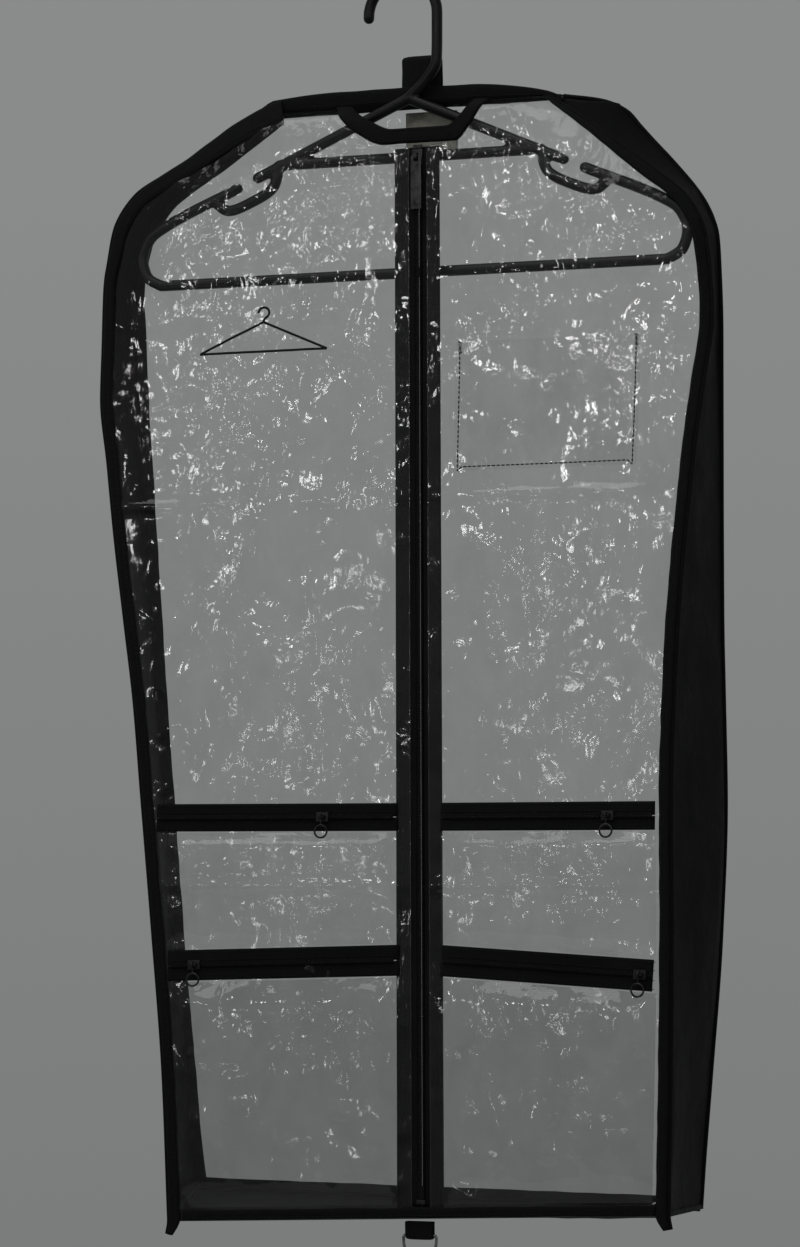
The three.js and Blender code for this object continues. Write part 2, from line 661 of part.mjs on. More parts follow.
const TAB_CENTER_X = 29;
const TAB_HALF = 10.4;
const RING_BAR_Z = -908.5;
const RING_Y = -66.7;
const RING_SECTION = 2;
const BOTTOM_TAB = {
  x0: TAB_CENTER_X - TAB_HALF,
  x1: TAB_CENTER_X + TAB_HALF,
  y0: RING_Y - 3.2,
  inner: 1.7,
  thickness: 1.5,
  foldZ: RING_BAR_Z - 3.2,
  endZ: -899,
};

// D-shaped ring: a straight bar inside the tab's fold and a half-ellipse below it.
function dRing() {
  const outline = (grow) => {
    const points = [new THREE.Vector2(-12 - grow, grow)];
    for (let i = 0; i <= 12; i++) {
      const angle = Math.PI + (Math.PI * i) / 12;
      const x = (12 + grow) * Math.cos(angle);
      points.push(new THREE.Vector2(x, -4 + (13 + grow) * Math.sin(angle)));
    }
    points.push(new THREE.Vector2(12 + grow, grow));
    return points;
  };
  const half = RING_SECTION / 2;
  const shape = new THREE.Shape(outline(half));
  shape.holes.push(new THREE.Path(outline(-half)));
  const ring = plate(shape, -half, half).rotateX(Math.PI / 2);
  return ring.translate(TAB_CENTER_X, RING_Y, RING_BAR_Z);
}

// ---- Assembly ---------------------------------------------------------------------------------

addPiece("hanger", "hanger", makeHanger());
for (const side of ["left", "right"]) {
  addPiece("front_film_" + side, "film", frontFilm(side));
  addPiece("gusset_" + side, "nylon", sideGusset(side));
  addPiece("front_binding_" + side, "webbing", frontBinding(side));
  addPiece("back_binding_" + side, "webbing", backBinding(side));
}
addPiece("back_film", "film", backFilm());
addPiece("gusset_top", "nylon", topGusset());
addPiece("gusset_bottom", "nylon", bottomGusset());
addPiece("top_binding", "webbing", topBinding());
addPiece("bottom_binding", "webbing", bottomBinding());
addPiece("back_binding_top", "webbing", backEdgeBinding([[-108, -80], [0, -80], [108, -80]]));
addPiece("back_binding_bottom", "webbing", backEdgeBinding([[-166, -881], [204, -885]]));
addPiece("opening_trim", "webbing", openingTrim());
mainZip();

const DROP = { upper: { left: 0, right: 0 }, lower: { left: 5, right: 9 } };
const REST = { upper: { left: -47, right: 166 }, lower: { left: -140, right: 190 } };
const LEVEL_Z = { upper: UPPER_POCKET_Z, lower: LOWER_POCKET_Z };
const LEVEL_TAPE = { upper: POCKET_TAPE_HALF, lower: POCKET_TAPE_HALF + 1 };
for (const level of ["upper", "lower"])
  for (const side of ["left", "right"])
    pocketZip(level, side, LEVEL_Z[level], DROP[level][side], REST[level][side], LEVEL_TAPE[level]);

for (const side of ["left", "right"]) {
  const under = (level) => (u) =>
    LEVEL_Z[level] - DROP[level][side] * u - LEVEL_TAPE[level] - 1;
  const aboveLower = (x, u) => LOWER_POCKET_Z - DROP.lower[side] * u + LEVEL_TAPE.lower + 1;
  const hem = (x) => hemZ(x) + BINDING_WIDTH + 2;
  addPiece("upper_pocket_" + side + "_film", "film", pocketFilm(side, under("upper"), aboveLower));
  addPiece("lower_pocket_" + side + "_film", "film", pocketFilm(side, under("lower"), hem));
}
addPiece("card_pocket", "film", cardPocket());
addPiece("hang_loop", "webbing", foldedStrap(HANG_LOOP));
addPiece("care_label", "label", box(CARE_LABEL.low, CARE_LABEL.high));
addPiece("bottom_tab", "webbing", foldedStrap(BOTTOM_TAB));
addPiece("bottom_ring", "steel", dRing());

export default group;
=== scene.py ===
import json
import math

import bmesh
import bpy
import numpy as np
from mathutils import Matrix, Vector, noise


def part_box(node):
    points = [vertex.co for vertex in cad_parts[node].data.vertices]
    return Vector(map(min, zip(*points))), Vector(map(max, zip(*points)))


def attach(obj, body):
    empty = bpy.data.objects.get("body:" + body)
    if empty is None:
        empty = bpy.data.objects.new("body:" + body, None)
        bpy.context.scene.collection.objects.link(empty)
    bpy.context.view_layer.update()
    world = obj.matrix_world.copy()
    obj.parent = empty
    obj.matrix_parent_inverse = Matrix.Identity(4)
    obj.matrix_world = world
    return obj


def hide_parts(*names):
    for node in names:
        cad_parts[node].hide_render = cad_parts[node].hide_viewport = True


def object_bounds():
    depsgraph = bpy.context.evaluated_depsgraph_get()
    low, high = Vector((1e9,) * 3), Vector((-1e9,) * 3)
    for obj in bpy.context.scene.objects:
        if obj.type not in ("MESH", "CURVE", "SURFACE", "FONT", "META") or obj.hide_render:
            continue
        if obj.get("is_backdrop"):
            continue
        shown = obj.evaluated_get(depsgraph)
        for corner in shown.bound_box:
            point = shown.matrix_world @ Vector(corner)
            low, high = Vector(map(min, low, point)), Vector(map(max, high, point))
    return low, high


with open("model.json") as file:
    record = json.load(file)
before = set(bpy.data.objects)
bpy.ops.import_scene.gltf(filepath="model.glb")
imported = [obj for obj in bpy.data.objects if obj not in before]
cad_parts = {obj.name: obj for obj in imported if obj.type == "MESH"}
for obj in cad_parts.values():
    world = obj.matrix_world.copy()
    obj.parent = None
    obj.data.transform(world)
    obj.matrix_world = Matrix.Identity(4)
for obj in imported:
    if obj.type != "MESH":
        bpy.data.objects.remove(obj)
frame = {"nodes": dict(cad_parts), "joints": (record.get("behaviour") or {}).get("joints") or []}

# A clear garment bag on its hanger. Metres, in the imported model's frame: +X is the viewer's
# right, +Y is towards the back of the bag and +Z is up, from the rail inside the hook.

CAD_LOW, CAD_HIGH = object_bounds()
MM = 0.001

CAMERA_PLACE = (0.7607, -2.4339, -0.6532)
CAMERA_AZIMUTH = math.radians(17.5)
CAMERA_PITCH = math.radians(4.03)
CAMERA_LENS = 101.04  # for the 36 mm sensor's long side

# Cloth and film
GAP = 0.3 * MM
FILM_COLUMNS = 6
FILM_STEP = 3.2 * MM
BINDING_WIDTH = 8 * MM
SHOULDER_BINDING = 12.5 * MM  # the left shoulder's binding is folded wider
BINDING_THICK = 1.9 * MM
STITCH_LENGTH = 2.7 * MM
STITCH_PITCH = 3.6 * MM
THREAD_RADIUS = 0.28 * MM
SIDES = {"left": -1, "right": 1}


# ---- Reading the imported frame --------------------


def vertices(node):
    """A CAD node's distinct vertices."""
    data = frame["nodes"][node].data
    flat = np.empty(3 * len(data.vertices))
    data.vertices.foreach_get("co", flat)
    return np.unique(flat.reshape(-1, 3).round(6), axis=0)


# Directions, each as an axis and a sign
TO_RIGHT, TO_BACK, TO_FRONT, DOWN = (0, 1), (1, 1), (1, -1), (2, -1)


def mm(x, y, z):
    """A shift given in millimetres."""
    return np.array([x, y, z]) * MM


def outer_face(node, rows_run, columns_run, outwards, columns=2):
    """One face of a thin bent sheet, as a grid of its vertices."""
    def reach(points, direction):
        return direction[1] * points[:, direction[0]]

    def ordered(points, direction):
        return points[np.argsort(reach(points, direction), kind="stable")]

    rows = ordered(vertices(node), rows_run).reshape(-1, 2 * columns, 3)
    return np.array([
        [pair[np.argmax(reach(pair, outwards))] for pair in ordered(row, columns_run).reshape(-1, 2, 3)]
        for row in rows])


def face_rows(node, columns):
    """The front face of a sheet across the view, as rows from the top, each from -X to +X."""
    return outer_face(node, DOWN, TO_RIGHT, TO_FRONT, columns)


def band_rails(node):
    """A level band's upper and lower edges, from -X to +X, on its front face."""
    return outer_face(node, TO_RIGHT, DOWN, TO_FRONT).transpose(1, 0, 2)


def local_frame(*nodes):
    """(centre, long way, wide way, outwards) of thin boxes that lie side by side as one band."""
    points = np.concatenate([vertices(n) for n in nodes])
    centre = points.mean(axis=0)
    long_way, wide_way, outwards = np.linalg.svd(points - centre)[2]
    long_way = long_way * np.sign(long_way[0] + long_way[2])  # to +X or up
    wide_way = wide_way * np.sign(wide_way[0] + wide_way[2])
    return centre, long_way, wide_way, -outwards * np.sign(outwards[1])


# ---- Curves and meshes --------------------


def pchip(keys, values, at):
    """Values over rising keys, joined smoothly without overshoot."""
    keys, values, at = (np.asarray(a, float) for a in (keys, values, at))
    step = np.diff(keys)[:, None]
    slope = np.diff(values, axis=0) / step
    total = slope[:-1] + slope[1:]
    same_way = slope[:-1] * slope[1:] > 0
    middle = np.where(same_way, 2 * slope[:-1] * slope[1:] / np.where(same_way, total, 1), 0)
    tangent = np.vstack([slope[:1], middle, slope[-1:]])
    i = np.clip(np.searchsorted(keys, at, side="right") - 1, 0, len(step) - 1)
    t = ((at - keys[i]) / step[i, 0])[:, None]
    h = step[i]
    return (
        (2 * t**3 - 3 * t**2 + 1) * values[i]
        + (t**3 - 2 * t**2 + t) * h * tangent[i]
        + (3 * t**2 - 2 * t**3) * values[i + 1]
        + (t**3 - t**2) * h * tangent[i + 1]
    )


def lengths(path):
    """Distance along a path at each of its points."""
    return np.concatenate([[0], np.cumsum(np.linalg.norm(np.diff(path, axis=0), axis=1))])


def resample(path, step):
    """The same path, smoothly, with points about step apart."""
    path = np.asarray(path, float)
    run = lengths(path)
    return pchip(run, path, np.linspace(0, run[-1], max(2, round(run[-1] / step) + 1)))


def refine(control, step):
    """A grid of control points resampled smoothly, about step apart both ways."""
    depth = lengths(control.mean(axis=1))
    rows = round(depth[-1] / step) + 1
    down = pchip(depth, control.reshape(len(control), -1), np.linspace(0, depth[-1], rows))
    down = down.reshape(rows, -1, 3).transpose(1, 0, 2)
    width = lengths(control.mean(axis=0))
    columns = round(width[-1] / step) + 1
    across = pchip(width, down.reshape(len(down), -1), np.linspace(0, width[-1], columns))
    return across.reshape(columns, rows, 3).transpose(1, 0, 2)


def unit(v):
    return v / np.maximum(np.linalg.norm(v, axis=-1, keepdims=True), 1e-12)


def tangents(path, closed=False):
    if closed:
        return unit(np.roll(path, -1, axis=0) - np.roll(path, 1, axis=0))
    return unit(np.gradient(path, axis=0))


def placed(name, data):
    """A new object in the scene."""
    piece = bpy.data.objects.new(name, data)
    bpy.context.scene.collection.objects.link(piece)
    return piece


def smooth(data):
    data.polygons.foreach_set("use_smooth", [True] * len(data.polygons))


def mesh_object(name, points, faces, uvs=None):
    """A smooth-shaded mesh; uvs holds one (u, v) in metres per vertex."""
    data = bpy.data.meshes.new(name)
    data.from_pydata([tuple(p) for p in points], [], faces)
    if uvs is not None:
        layer = data.uv_layers.new(name="cloth")
        loops = np.empty(len(data.loops), int)
        data.loops.foreach_get("vertex_index", loops)
        layer.data.foreach_set("uv", np.asarray(uvs, np.float32)[loops].ravel())
    data.validate()
    smooth(data)
    return placed(name, data)


def grid_object(name, grid):
    """An open sheet through a grid of points."""
    rows, columns = grid.shape[:2]
    index = np.arange(rows * columns).reshape(rows, columns)
    quads = np.stack([index[:-1, :-1], index[1:, :-1], index[1:, 1:], index[:-1, 1:]], axis=-1)
    u = lengths(grid[rows // 2])
    v = lengths(grid[:, columns // 2])
    uvs = np.stack(np.meshgrid(u, v), axis=-1).reshape(-1, 2)
    return mesh_object(name, grid.reshape(-1, 3), quads.reshape(-1, 4).tolist(), uvs)


def loft_faces(count, around, closed, start=0):
    """Faces of a skin over rings of points, with capped ends unless it is closed."""
    faces = []
    for i in range(count if closed else count - 1):
        a, b = start + i * around, start + (i + 1) % count * around
        faces += [(a + j, a + (j + 1) % around, b + (j + 1) % around, b + j) for j in range(around)]
    if not closed:
        faces.append(tuple(start + j for j in reversed(range(around))))
        faces.append(tuple(start + (count - 1) * around + j for j in range(around)))
    return faces


def face_out(piece):
    """Turns a closed piece's faces outwards."""
    mesh = bmesh.new()
    mesh.from_mesh(piece.data)
    bmesh.ops.recalc_face_normals(mesh, faces=mesh.faces)
    mesh.to_mesh(piece.data)
    mesh.free()
    return piece


def loft(name, rings, closed=False, uvs=None):
    """A closed skin through rings of points."""
    count, around = rings.shape[:2]
    faces = loft_faces(count, around, closed)
    return face_out(mesh_object(name, rings.reshape(-1, 3), faces, uvs))


def tube_rings(path, radii, sides, reference, flatten=1.0, closed=False):
    """Rings round a path; reference is a direction roughly square to it all along."""
    path = np.asarray(path, float)
    ahead = tangents(path, closed)
    side = unit(np.cross(ahead, reference))
    up = np.cross(side, ahead)
    angle = np.linspace(0, 2 * math.pi, sides, endpoint=False)
    radii = np.broadcast_to(radii, len(path))[:, None, None]
    return path[:, None] + radii * (
        np.cos(angle)[None, :, None] * side[:, None]
        + flatten * np.sin(angle)[None, :, None] * up[:, None]
    )


def rounded_tube(path, radius, sides, reference, flatten=1.0):
    """Rings of a tube whose two ends are domes."""
    ahead = tangents(path)
    dome = np.sin(np.linspace(0, math.pi / 2, 5))[:4]
    start = [path[0] - ahead[0] * radius * math.sqrt(1 - d * d) for d in dome]
    end = [path[-1] + ahead[-1] * radius * math.sqrt(1 - d * d) for d in reversed(dome)]
    whole = np.concatenate([start, path, end])
    radii = radius * np.concatenate([dome.clip(0.08), np.ones(len(path)), dome[::-1].clip(0.08)])
    return tube_rings(whole, radii, sides, reference, flatten)


def join_lofts(name, open_rings, closed_rings=()):
    """Several skins as one mesh, those that close on themselves first."""
    points, faces, count = [], [], 0
    for group, closed in ((closed_rings, True), (open_rings, False)):
        for rings in map(np.asarray, group):
            faces += loft_faces(*rings.shape[:2], closed, count)
            points.append(rings.reshape(-1, 3))
            count += len(points[-1])
    return face_out(mesh_object(name, np.concatenate(points), faces))


def strip(name, outer, inner, outwards, thick, square=4, across=9):
    """A flat band between two rails, thick on its outward side, with rounded edges."""
    outwards = np.broadcast_to(outwards, outer.shape)
    u = (1 - np.cos(np.linspace(0, math.pi, across))) / 2
    rise = thick * (1 - np.abs(2 * u - 1) ** square) ** 0.5
    face = outer[:, None] * (1 - u)[None, :, None] + inner[:, None] * u[None, :, None]
    top = face + rise[None, :, None] * outwards[:, None]
    under = face[:, -2:0:-1] - 0.08 * thick * outwards[:, None]
    rings = np.concatenate([top, under], axis=1)
    width = np.linalg.norm(inner - outer, axis=1)
    u_all = np.concatenate([u, u[-2:0:-1]])
    uvs = np.stack([u_all[None] * width[:, None], np.broadcast_to(
        lengths((outer + inner) / 2)[:, None], (len(outer), len(u_all)))], axis=-1)
    return loft(name, rings, uvs=uvs.reshape(-1, 2))


def stitches(name, path, outwards, radius=THREAD_RADIUS):
    """A row of thread stitches lying along a path, each sunk a little at its ends."""
    run = lengths(path)
    outwards = np.broadcast_to(outwards, path.shape)
    rings = []
    for start in np.arange(STITCH_PITCH, run[-1] - STITCH_LENGTH, STITCH_PITCH):
        at = start + STITCH_LENGTH * np.array([0, 0.2, 0.5, 0.8, 1])
        points = np.stack([np.interp(at, run, path[:, k]) for k in range(3)], axis=1)
        out = np.stack([np.interp(at, run, outwards[:, k]) for k in range(3)], axis=1)
        points += out * radius * np.array([-0.8, 0.5, 0.8, 0.5, -0.8])[:, None]
        rings.append(tube_rings(points, radius * np.array([0.5, 1, 1, 1, 0.5]), 5, out[2]))
    return finish_piece(join_lofts(name, rings), "thread", "bag")


def bevelled(node, name, width):
    """A CAD node's own shape with its edges rounded off."""
    data = frame["nodes"][node].data.copy()
    data.name = name
    data.materials.clear()
    mesh = bmesh.new()
    mesh.from_mesh(data)
    bmesh.ops.remove_doubles(mesh, verts=mesh.verts, dist=1e-6)
    bmesh.ops.dissolve_limit(
        mesh, angle_limit=math.radians(2), verts=mesh.verts, edges=mesh.edges)
    sharp = [e for e in mesh.edges if e.is_manifold and e.calc_face_angle(0) > math.radians(20)]
    bmesh.ops.bevel(
        mesh, geom=sharp, offset=width, offset_type="OFFSET", segments=3, profile=0.6,
        affect="EDGES", clamp_overlap=True)
    mesh.to_mesh(data)
    mesh.free()
    smooth(data)
    data.set_sharp_from_angle(angle=math.radians(40))
    return placed(name, data)


# ---- Materials --------------------


class Look:
    """A node material under construction, or the studio's world."""

    def __init__(self, name, owners=bpy.data.materials, output="OutputMaterial"):
        self.material = owners.new(name)
        self.material.use_nodes = True
        self.tree = self.material.node_tree
        self.tree.nodes.clear()
        self.output = self.add(output)
        place = self.add("TexCoord").outputs
        self.here, self.cloth, self.direction = place["Object"], place["UV"], place["Generated"]

    def show(self, shader):
        self.tree.links.new(shader.outputs[0], self.output.inputs["Surface"])
        return self.material

    def add(self, kind, inputs=None, **settings):
        node = self.tree.nodes.new("ShaderNode" + kind)
        for key, value in settings.items():
            setattr(node, key, value)
        for key, value in (inputs or {}).items():
            if isinstance(value, bpy.types.NodeSocket):
                self.tree.links.new(value, node.inputs[key])
            else:
                node.inputs[key].default_value = value
        return node

    def maths(self, operation, a, b=0.0, clamp=False):
        node = self.add("Math", {0: a, 1: b}, operation=operation, use_clamp=clamp)
        return node.outputs[0]

    def times(self, a, b):
        return self.maths("MULTIPLY", a, b)

    def plus(self, a, b, clamp=False):
        return self.maths("ADD", a, b, clamp)

    def ridges(self, phase):
        """Rounded ridges, one each half turn of a phase."""
        return self.maths("ABSOLUTE", self.maths("SINE", phase))

    def scaled(self, source, x, y, z):
        node = self.add("Mapping", {"Vector": source, "Scale": (x, y, z)})
        return node.outputs[0]

    def noise(self, source, scale, detail=3.0, rough=0.5, distort=0.0, **settings):
        inputs = {"Vector": source, "Scale": scale, "Detail": detail,
                  "Roughness": rough, "Distortion": distort}
        return self.add("TexNoise", inputs, **settings).outputs[0]

    def between(self, value, low, high, to_low=0.0, to_high=1.0):
        inputs = {"Value": value, "From Min": low, "From Max": high,
                  "To Min": to_low, "To Max": to_high}
        return self.add("MapRange", inputs, clamp=True).outputs[0]

    def colours(self, value, *stops):
        ramp = self.add("ValToRGB", {"Fac": value})
        elements = ramp.color_ramp.elements
        while len(elements) < len(stops):
            elements.new(0.5)
        for element, (at, colour) in zip(elements, stops):
            element.position = at
            element.color = (*colour, 1)
        return ramp.outputs["Color"]

    def bump(self, height, distance, normal=None):
        inputs = {"Height": height, "Distance": distance}
        if normal is not None:
            inputs["Normal"] = normal
        return self.add("Bump", inputs).outputs[0]

    def principled(self, **inputs):
        named = {key.replace("_", " "): value for key, value in inputs.items()}
        return self.show(self.add("BsdfPrincipled", named))

    def threads(self, pitch):
        """Height of a plain weave in the cloth's own coordinates."""
        cloth = self.add("SeparateXYZ", {0: self.cloth})
        turn = math.pi / pitch
        over, under = (self.ridges(self.times(cloth.outputs[k], turn)) for k in (0, 1))
        checks = self.add("TexChecker", {
            "Vector": self.cloth, "Scale": 1 / pitch,
            "Color1": (0, 0, 0, 1), "Color2": (1, 1, 1, 1)})
        mix = self.add("Mix", {0: checks.outputs["Fac"], 2: over, 3: under})
        return mix.outputs[0]


def cloth_look(name, pitch, weave_depth, dark, light, rough, wrinkle=0.0):
    """Black woven cloth: a plain weave, soft creases, faded high spots and a little lint."""
    look = Look(name)
    weave = look.threads(pitch)
    fade = look.noise(look.here, 22.0, 5.0, 0.62)
    lint = look.between(look.noise(look.here, 900.0, 1.0), 0.72, 0.8, 0.0, 0.5)
    tone = look.plus(look.times(fade, 0.75), look.times(weave, 0.25))
    shade = look.plus(tone, look.times(lint, 0.25), clamp=True)
    colour = look.colours(shade, (0.3, dark), (0.72, light), (1.0, tuple(4 * c for c in light)))
    creases = look.bump(look.noise(look.here, 60.0, 4.0, 0.55, 0.6), wrinkle)
    normal = look.bump(weave, weave_depth, creases)
    roughness = look.between(fade, 0.3, 0.7, rough - 0.08, rough + 0.08)
    return look.principled(Base_Color=colour, Roughness=roughness, Normal=normal,
                           Sheen_Weight=0.01, Sheen_Roughness=0.5, Specular_IOR_Level=0.1)


def webbing_look(name, rib_pitch, dark, light):
    """Black bias tape: fine ribs across its length and a slight wear of its raised parts."""
    look = Look(name)
    cloth = look.add("SeparateXYZ", {0: look.cloth})
    turn = math.pi / rib_pitch
    along = look.times(cloth.outputs[1], turn)
    across = look.times(cloth.outputs[0], turn * 0.5)
    ribs = look.ridges(look.plus(along, across))
    wear = look.noise(look.here, 45.0, 5.0, 0.6)
    tone = look.plus(look.times(wear, 0.7), look.times(ribs, 0.3))
    colour = look.colours(tone, (0.32, dark), (0.75, light))
    pucker = look.bump(look.noise(look.here, 130.0, 3.0, 0.5), 1.2 * MM)
    normal = look.bump(ribs, 0.25 * MM, pucker)
    roughness = look.between(wear, 0.3, 0.7, 0.55, 0.8)
    return look.principled(Base_Color=colour, Roughness=roughness, Normal=normal,
                           Sheen_Weight=0.015, Sheen_Roughness=0.4, Specular_IOR_Level=0.12)


HEAD_ON_MIRROR = 0.046  # share of light that vinyl reflects when it is faced squarely, from either side


def film_look(name, clear, haze, sparkle):
    """Clear vinyl: nearly all see-through, mirror-like where a crinkle faces a light, and a
    little milky white in streaks along its crinkles: partly the whitening of creased vinyl, partly painted
    highlights."""
    look = Look(name)
    hung = look.scaled(look.here, 1.0, 1.0, 0.38)  # crinkles run mostly up and down
    leaning = look.add("Mapping", {
        "Vector": look.here, "Rotation": (0, math.radians(38), 0), "Scale": (1.0, 1.0, 0.42)}).outputs[0]
    ridged = {"noise_type": "RIDGED_MULTIFRACTAL"}
    upright = look.noise(hung, 140.0, 2.5, 0.5, 1.1, **ridged)
    slanted = look.noise(leaning, 105.0, 2.5, 0.5, 0.9, **ridged)
    dents = look.noise(look.here, 50.0, 2.0, 0.5, 1.4)
    waves = look.noise(look.here, 16.0, 2.0, 0.5)
    height_above = look.add("SeparateXYZ", {0: look.here}).outputs[2]
    busy = look.between(height_above, -0.44, -0.14, 0.42, 1.0)  # most crumpled round the hanger
    gathered = look.between(look.noise(look.here, 11.0, 4.0, 0.65), 0.42, 0.64, 0.26, 1.0)
    height = look.times(look.plus(upright, slanted), 0.42)
    crumpled = look.times(gathered, busy)
    height = look.times(look.plus(height, dents), crumpled)
    height = look.plus(height, look.times(waves, 2.6))
    normal = look.bump(height, sparkle)
    facing = look.add("LayerWeight", {"Blend": 0.5, "Normal": normal}).outputs["Facing"]
    mirror = look.plus(look.maths("POWER", facing, 5.0), HEAD_ON_MIRROR, clamp=True)
    # Whitish diffuse streaks on the upright crinkles, densest round the hanger: partly creased vinyl's
    # whitening, partly painted highlights
    creases_and_painted_glints = look.times(look.between(upright, 0.66, 1.0), crumpled)
    milky = look.plus(look.times(creases_and_painted_glints, 0.10), haze, clamp=True)
    # The see-through tint is up to 7% darker in soft patches: painted shade, standing for soft shadows and
    # refraction seen through the film
    mottle = look.noise(look.scaled(look.here, 1.0, 1.0, 0.6), 34.0, 4.0, 0.6, 0.8)
    patchy_painted_shade_tint = look.colours(mottle, (0.3, tuple(0.93 * c for c in clear)), (0.68, clear))
    see = look.add("BsdfTransparent", {"Color": patchy_painted_shade_tint}).outputs[0]
    white = look.add("BsdfDiffuse", {"Color": (0.62, 0.63, 0.62, 1), "Normal": normal})
    gloss = look.add("BsdfGlossy", {"Roughness": 0.085, "Normal": normal})
    base = look.add("MixShader", {0: milky, 1: see, 2: white.outputs[0]}).outputs[0]
    return look.show(look.add("MixShader", {0: mirror, 1: base, 2: gloss.outputs[0]}))


def plastic_look(name, dark, light, low, high):
    """Black moulded plastic with flow marks, a fine skin and small pale scuffs."""
    look = Look(name)
    flow = look.noise(look.here, 35.0, 5.0, 0.6, 0.8)
    scuffs = look.between(look.noise(look.scaled(look.here, 1, 1, 3), 420.0, 2.0), 0.68, 0.76, 0.0, 0.6)
    tone = look.plus(look.times(flow, 0.8), look.times(scuffs, 0.4))
    colour = look.colours(tone, (0.3, dark), (0.7, light), (1.0, tuple(3 * c for c in light)))
    normal = look.bump(look.noise(look.here, 600.0, 2.0), 0.12 * MM)
    roughness = look.between(flow, 0.3, 0.7, low, high)
    return look.principled(Base_Color=colour, Roughness=roughness, Normal=normal,
                           Specular_IOR_Level=0.24)


def metal_look(name, dark, light, low, high, metallic):
    """Plated or painted metal with fine tooling marks and dull, worn patches."""
    look = Look(name)
    worn = look.noise(look.here, 240.0, 4.0, 0.6)
    marks = look.noise(look.scaled(look.here, 1, 8, 1), 700.0, 2.0)
    colour = look.colours(worn, (0.35, dark), (0.68, light))
    normal = look.bump(marks, 0.06 * MM)
    roughness = look.between(worn, 0.3, 0.7, low, high)
    return look.principled(Base_Color=colour, Roughness=roughness, Normal=normal, Metallic=metallic)


def label_look(name):
    """Unbleached woven label with a satin face and grubby edges."""
    look = Look(name)
    weave = look.threads(0.7 * MM)
    grime = look.noise(look.here, 70.0, 4.0, 0.6)
    colour = look.colours(grime, (0.3, (0.4, 0.39, 0.33)), (0.7, (0.72, 0.71, 0.62)))
    normal = look.bump(weave, 0.2 * MM, look.bump(grime, 1.5 * MM))
    return look.principled(Base_Color=colour, Roughness=0.7, Normal=normal, Sheen_Weight=0.1)


LOOKS = {
    "film": film_look("clear_vinyl", (0.995, 1.0, 0.997), 0.008, 1.9 * MM),
    "pocket_film": film_look("clear_vinyl_pocket", (0.965, 0.97, 0.967), 0.012, 2.1 * MM),
    # The lower pockets' film lets through far less light than the upper pockets' film: painted shade of the
    # bag's lower part
    "low_pocket_film_shaded": film_look("clear_vinyl_low_pocket_shaded", (0.765, 0.769, 0.767), 0.012, 2.1 * MM),
    "nylon": cloth_look(
        "gusset_nylon", 0.75 * MM, 0.22 * MM, (0.0032, 0.0033, 0.0036), (0.0078, 0.008, 0.0084), 0.62,
        2.6 * MM),
    "webbing": webbing_look("binding_tape", 0.9 * MM, (0.0028, 0.0029, 0.0032), (0.009, 0.0092, 0.0098)),
    "tape": cloth_look(
        "zip_tape", 0.6 * MM, 0.16 * MM, (0.0038, 0.0039, 0.0042), (0.0105, 0.0107, 0.0112), 0.7, 0.8 * MM),
    "coil": plastic_look("zip_coil", (0.004, 0.004, 0.0045), (0.009, 0.009, 0.0095), 0.4, 0.55),
    "thread": plastic_look("thread", (0.005, 0.005, 0.0055), (0.014, 0.014, 0.0145), 0.5, 0.7),
    "print": plastic_look("black_print", (0.004, 0.004, 0.0045), (0.009, 0.009, 0.0095), 0.5, 0.7),
    "plastic": plastic_look(
        "hanger_plastic", (0.0042, 0.0043, 0.0048), (0.0115, 0.0118, 0.0125), 0.28, 0.44),
    "slider": metal_look("slider_enamel", (0.008, 0.008, 0.009), (0.024, 0.024, 0.026), 0.3, 0.45, 0.4),
    "pull": metal_look("pull_plate", (0.02, 0.02, 0.021), (0.06, 0.06, 0.062), 0.28, 0.45, 0.85),
    "steel": metal_look("ring_steel", (0.18, 0.18, 0.185), (0.42, 0.42, 0.43), 0.25, 0.45, 1.0),
    "label": label_look("label_cloth"),
}


def finish_piece(piece, look, body, *nodes):
    """Gives a piece its material, its body and the CAD nodes that it stands for."""
    piece.data.materials.clear()
    piece.data.materials.append(LOOKS[look])
    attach(piece, body)
    if nodes:
        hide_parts(*nodes)
    return piece


# ---- Folds --------------------


def edge_fade(grid, reach):
    """1 in the middle of a sheet, falling to 0 at its edges over a distance."""
    rows, columns = grid.shape[:2]
    v = lengths(grid[:, columns // 2])[:, None]
    u = lengths(grid[rows // 2])[None]
    nearest = np.minimum(np.minimum(v, v[-1] - v), np.minimum(u, u[:, -1:] - u))
    t = np.clip(nearest / reach, 0, 1)
    return t * t * (3 - 2 * t)


def folds(grid, size, seed, stretch=(1, 1, 1)):
    """Soft folds about size across, from -1 to 1, for each point of a grid."""
    flat = grid.reshape(-1, 3) * np.array(stretch) / size + seed * 7.31
    return np.array([noise.noise(p) for p in flat.tolist()]).reshape(grid.shape[:2])


def creases(grid, size, seed, stretch=(1, 1, 1)):
    """Sharp-ridged creases about size across, from 0 to about 1."""
    soft = np.abs(folds(grid, size, seed, stretch)) + 0.5 * np.abs(folds(grid, size / 2, seed + 1, stretch))
    return 1 - np.clip(soft / 0.5, 0, 1)


def crumple(grid, direction, soft, sharp, size, seed, reach=12 * MM, stretch=(1, 1, 0.55)):
    """Moves a sheet along a direction by soft folds and sharp creases, but not at its edges."""
    shift = soft * folds(grid, size * 2.2, seed, stretch) * 1.6
    shift += sharp * creases(grid, size, seed + 3, stretch)
    return grid + (shift * edge_fade(grid, reach))[..., None] * np.array(direction, float)


# ---- The bag's surfaces --------------------

film_grids = {}
for side in SIDES:
    control = face_rows("front_film_" + side, FILM_COLUMNS)
    film_grids[side] = refine(control if side == "right" else control[:, ::-1], FILM_STEP)
back_grid = refine(face_rows("back_film", 3), 6 * MM)
# Each seam lies just outside its film: from the top down to the hem.
front_seam = {s: film_grids[s][:, -1] + np.array([SIDES[s] * GAP, 0, 0]) for s in SIDES}
back_seam = {"left": back_grid[:, 0], "right": back_grid[:, -1]}


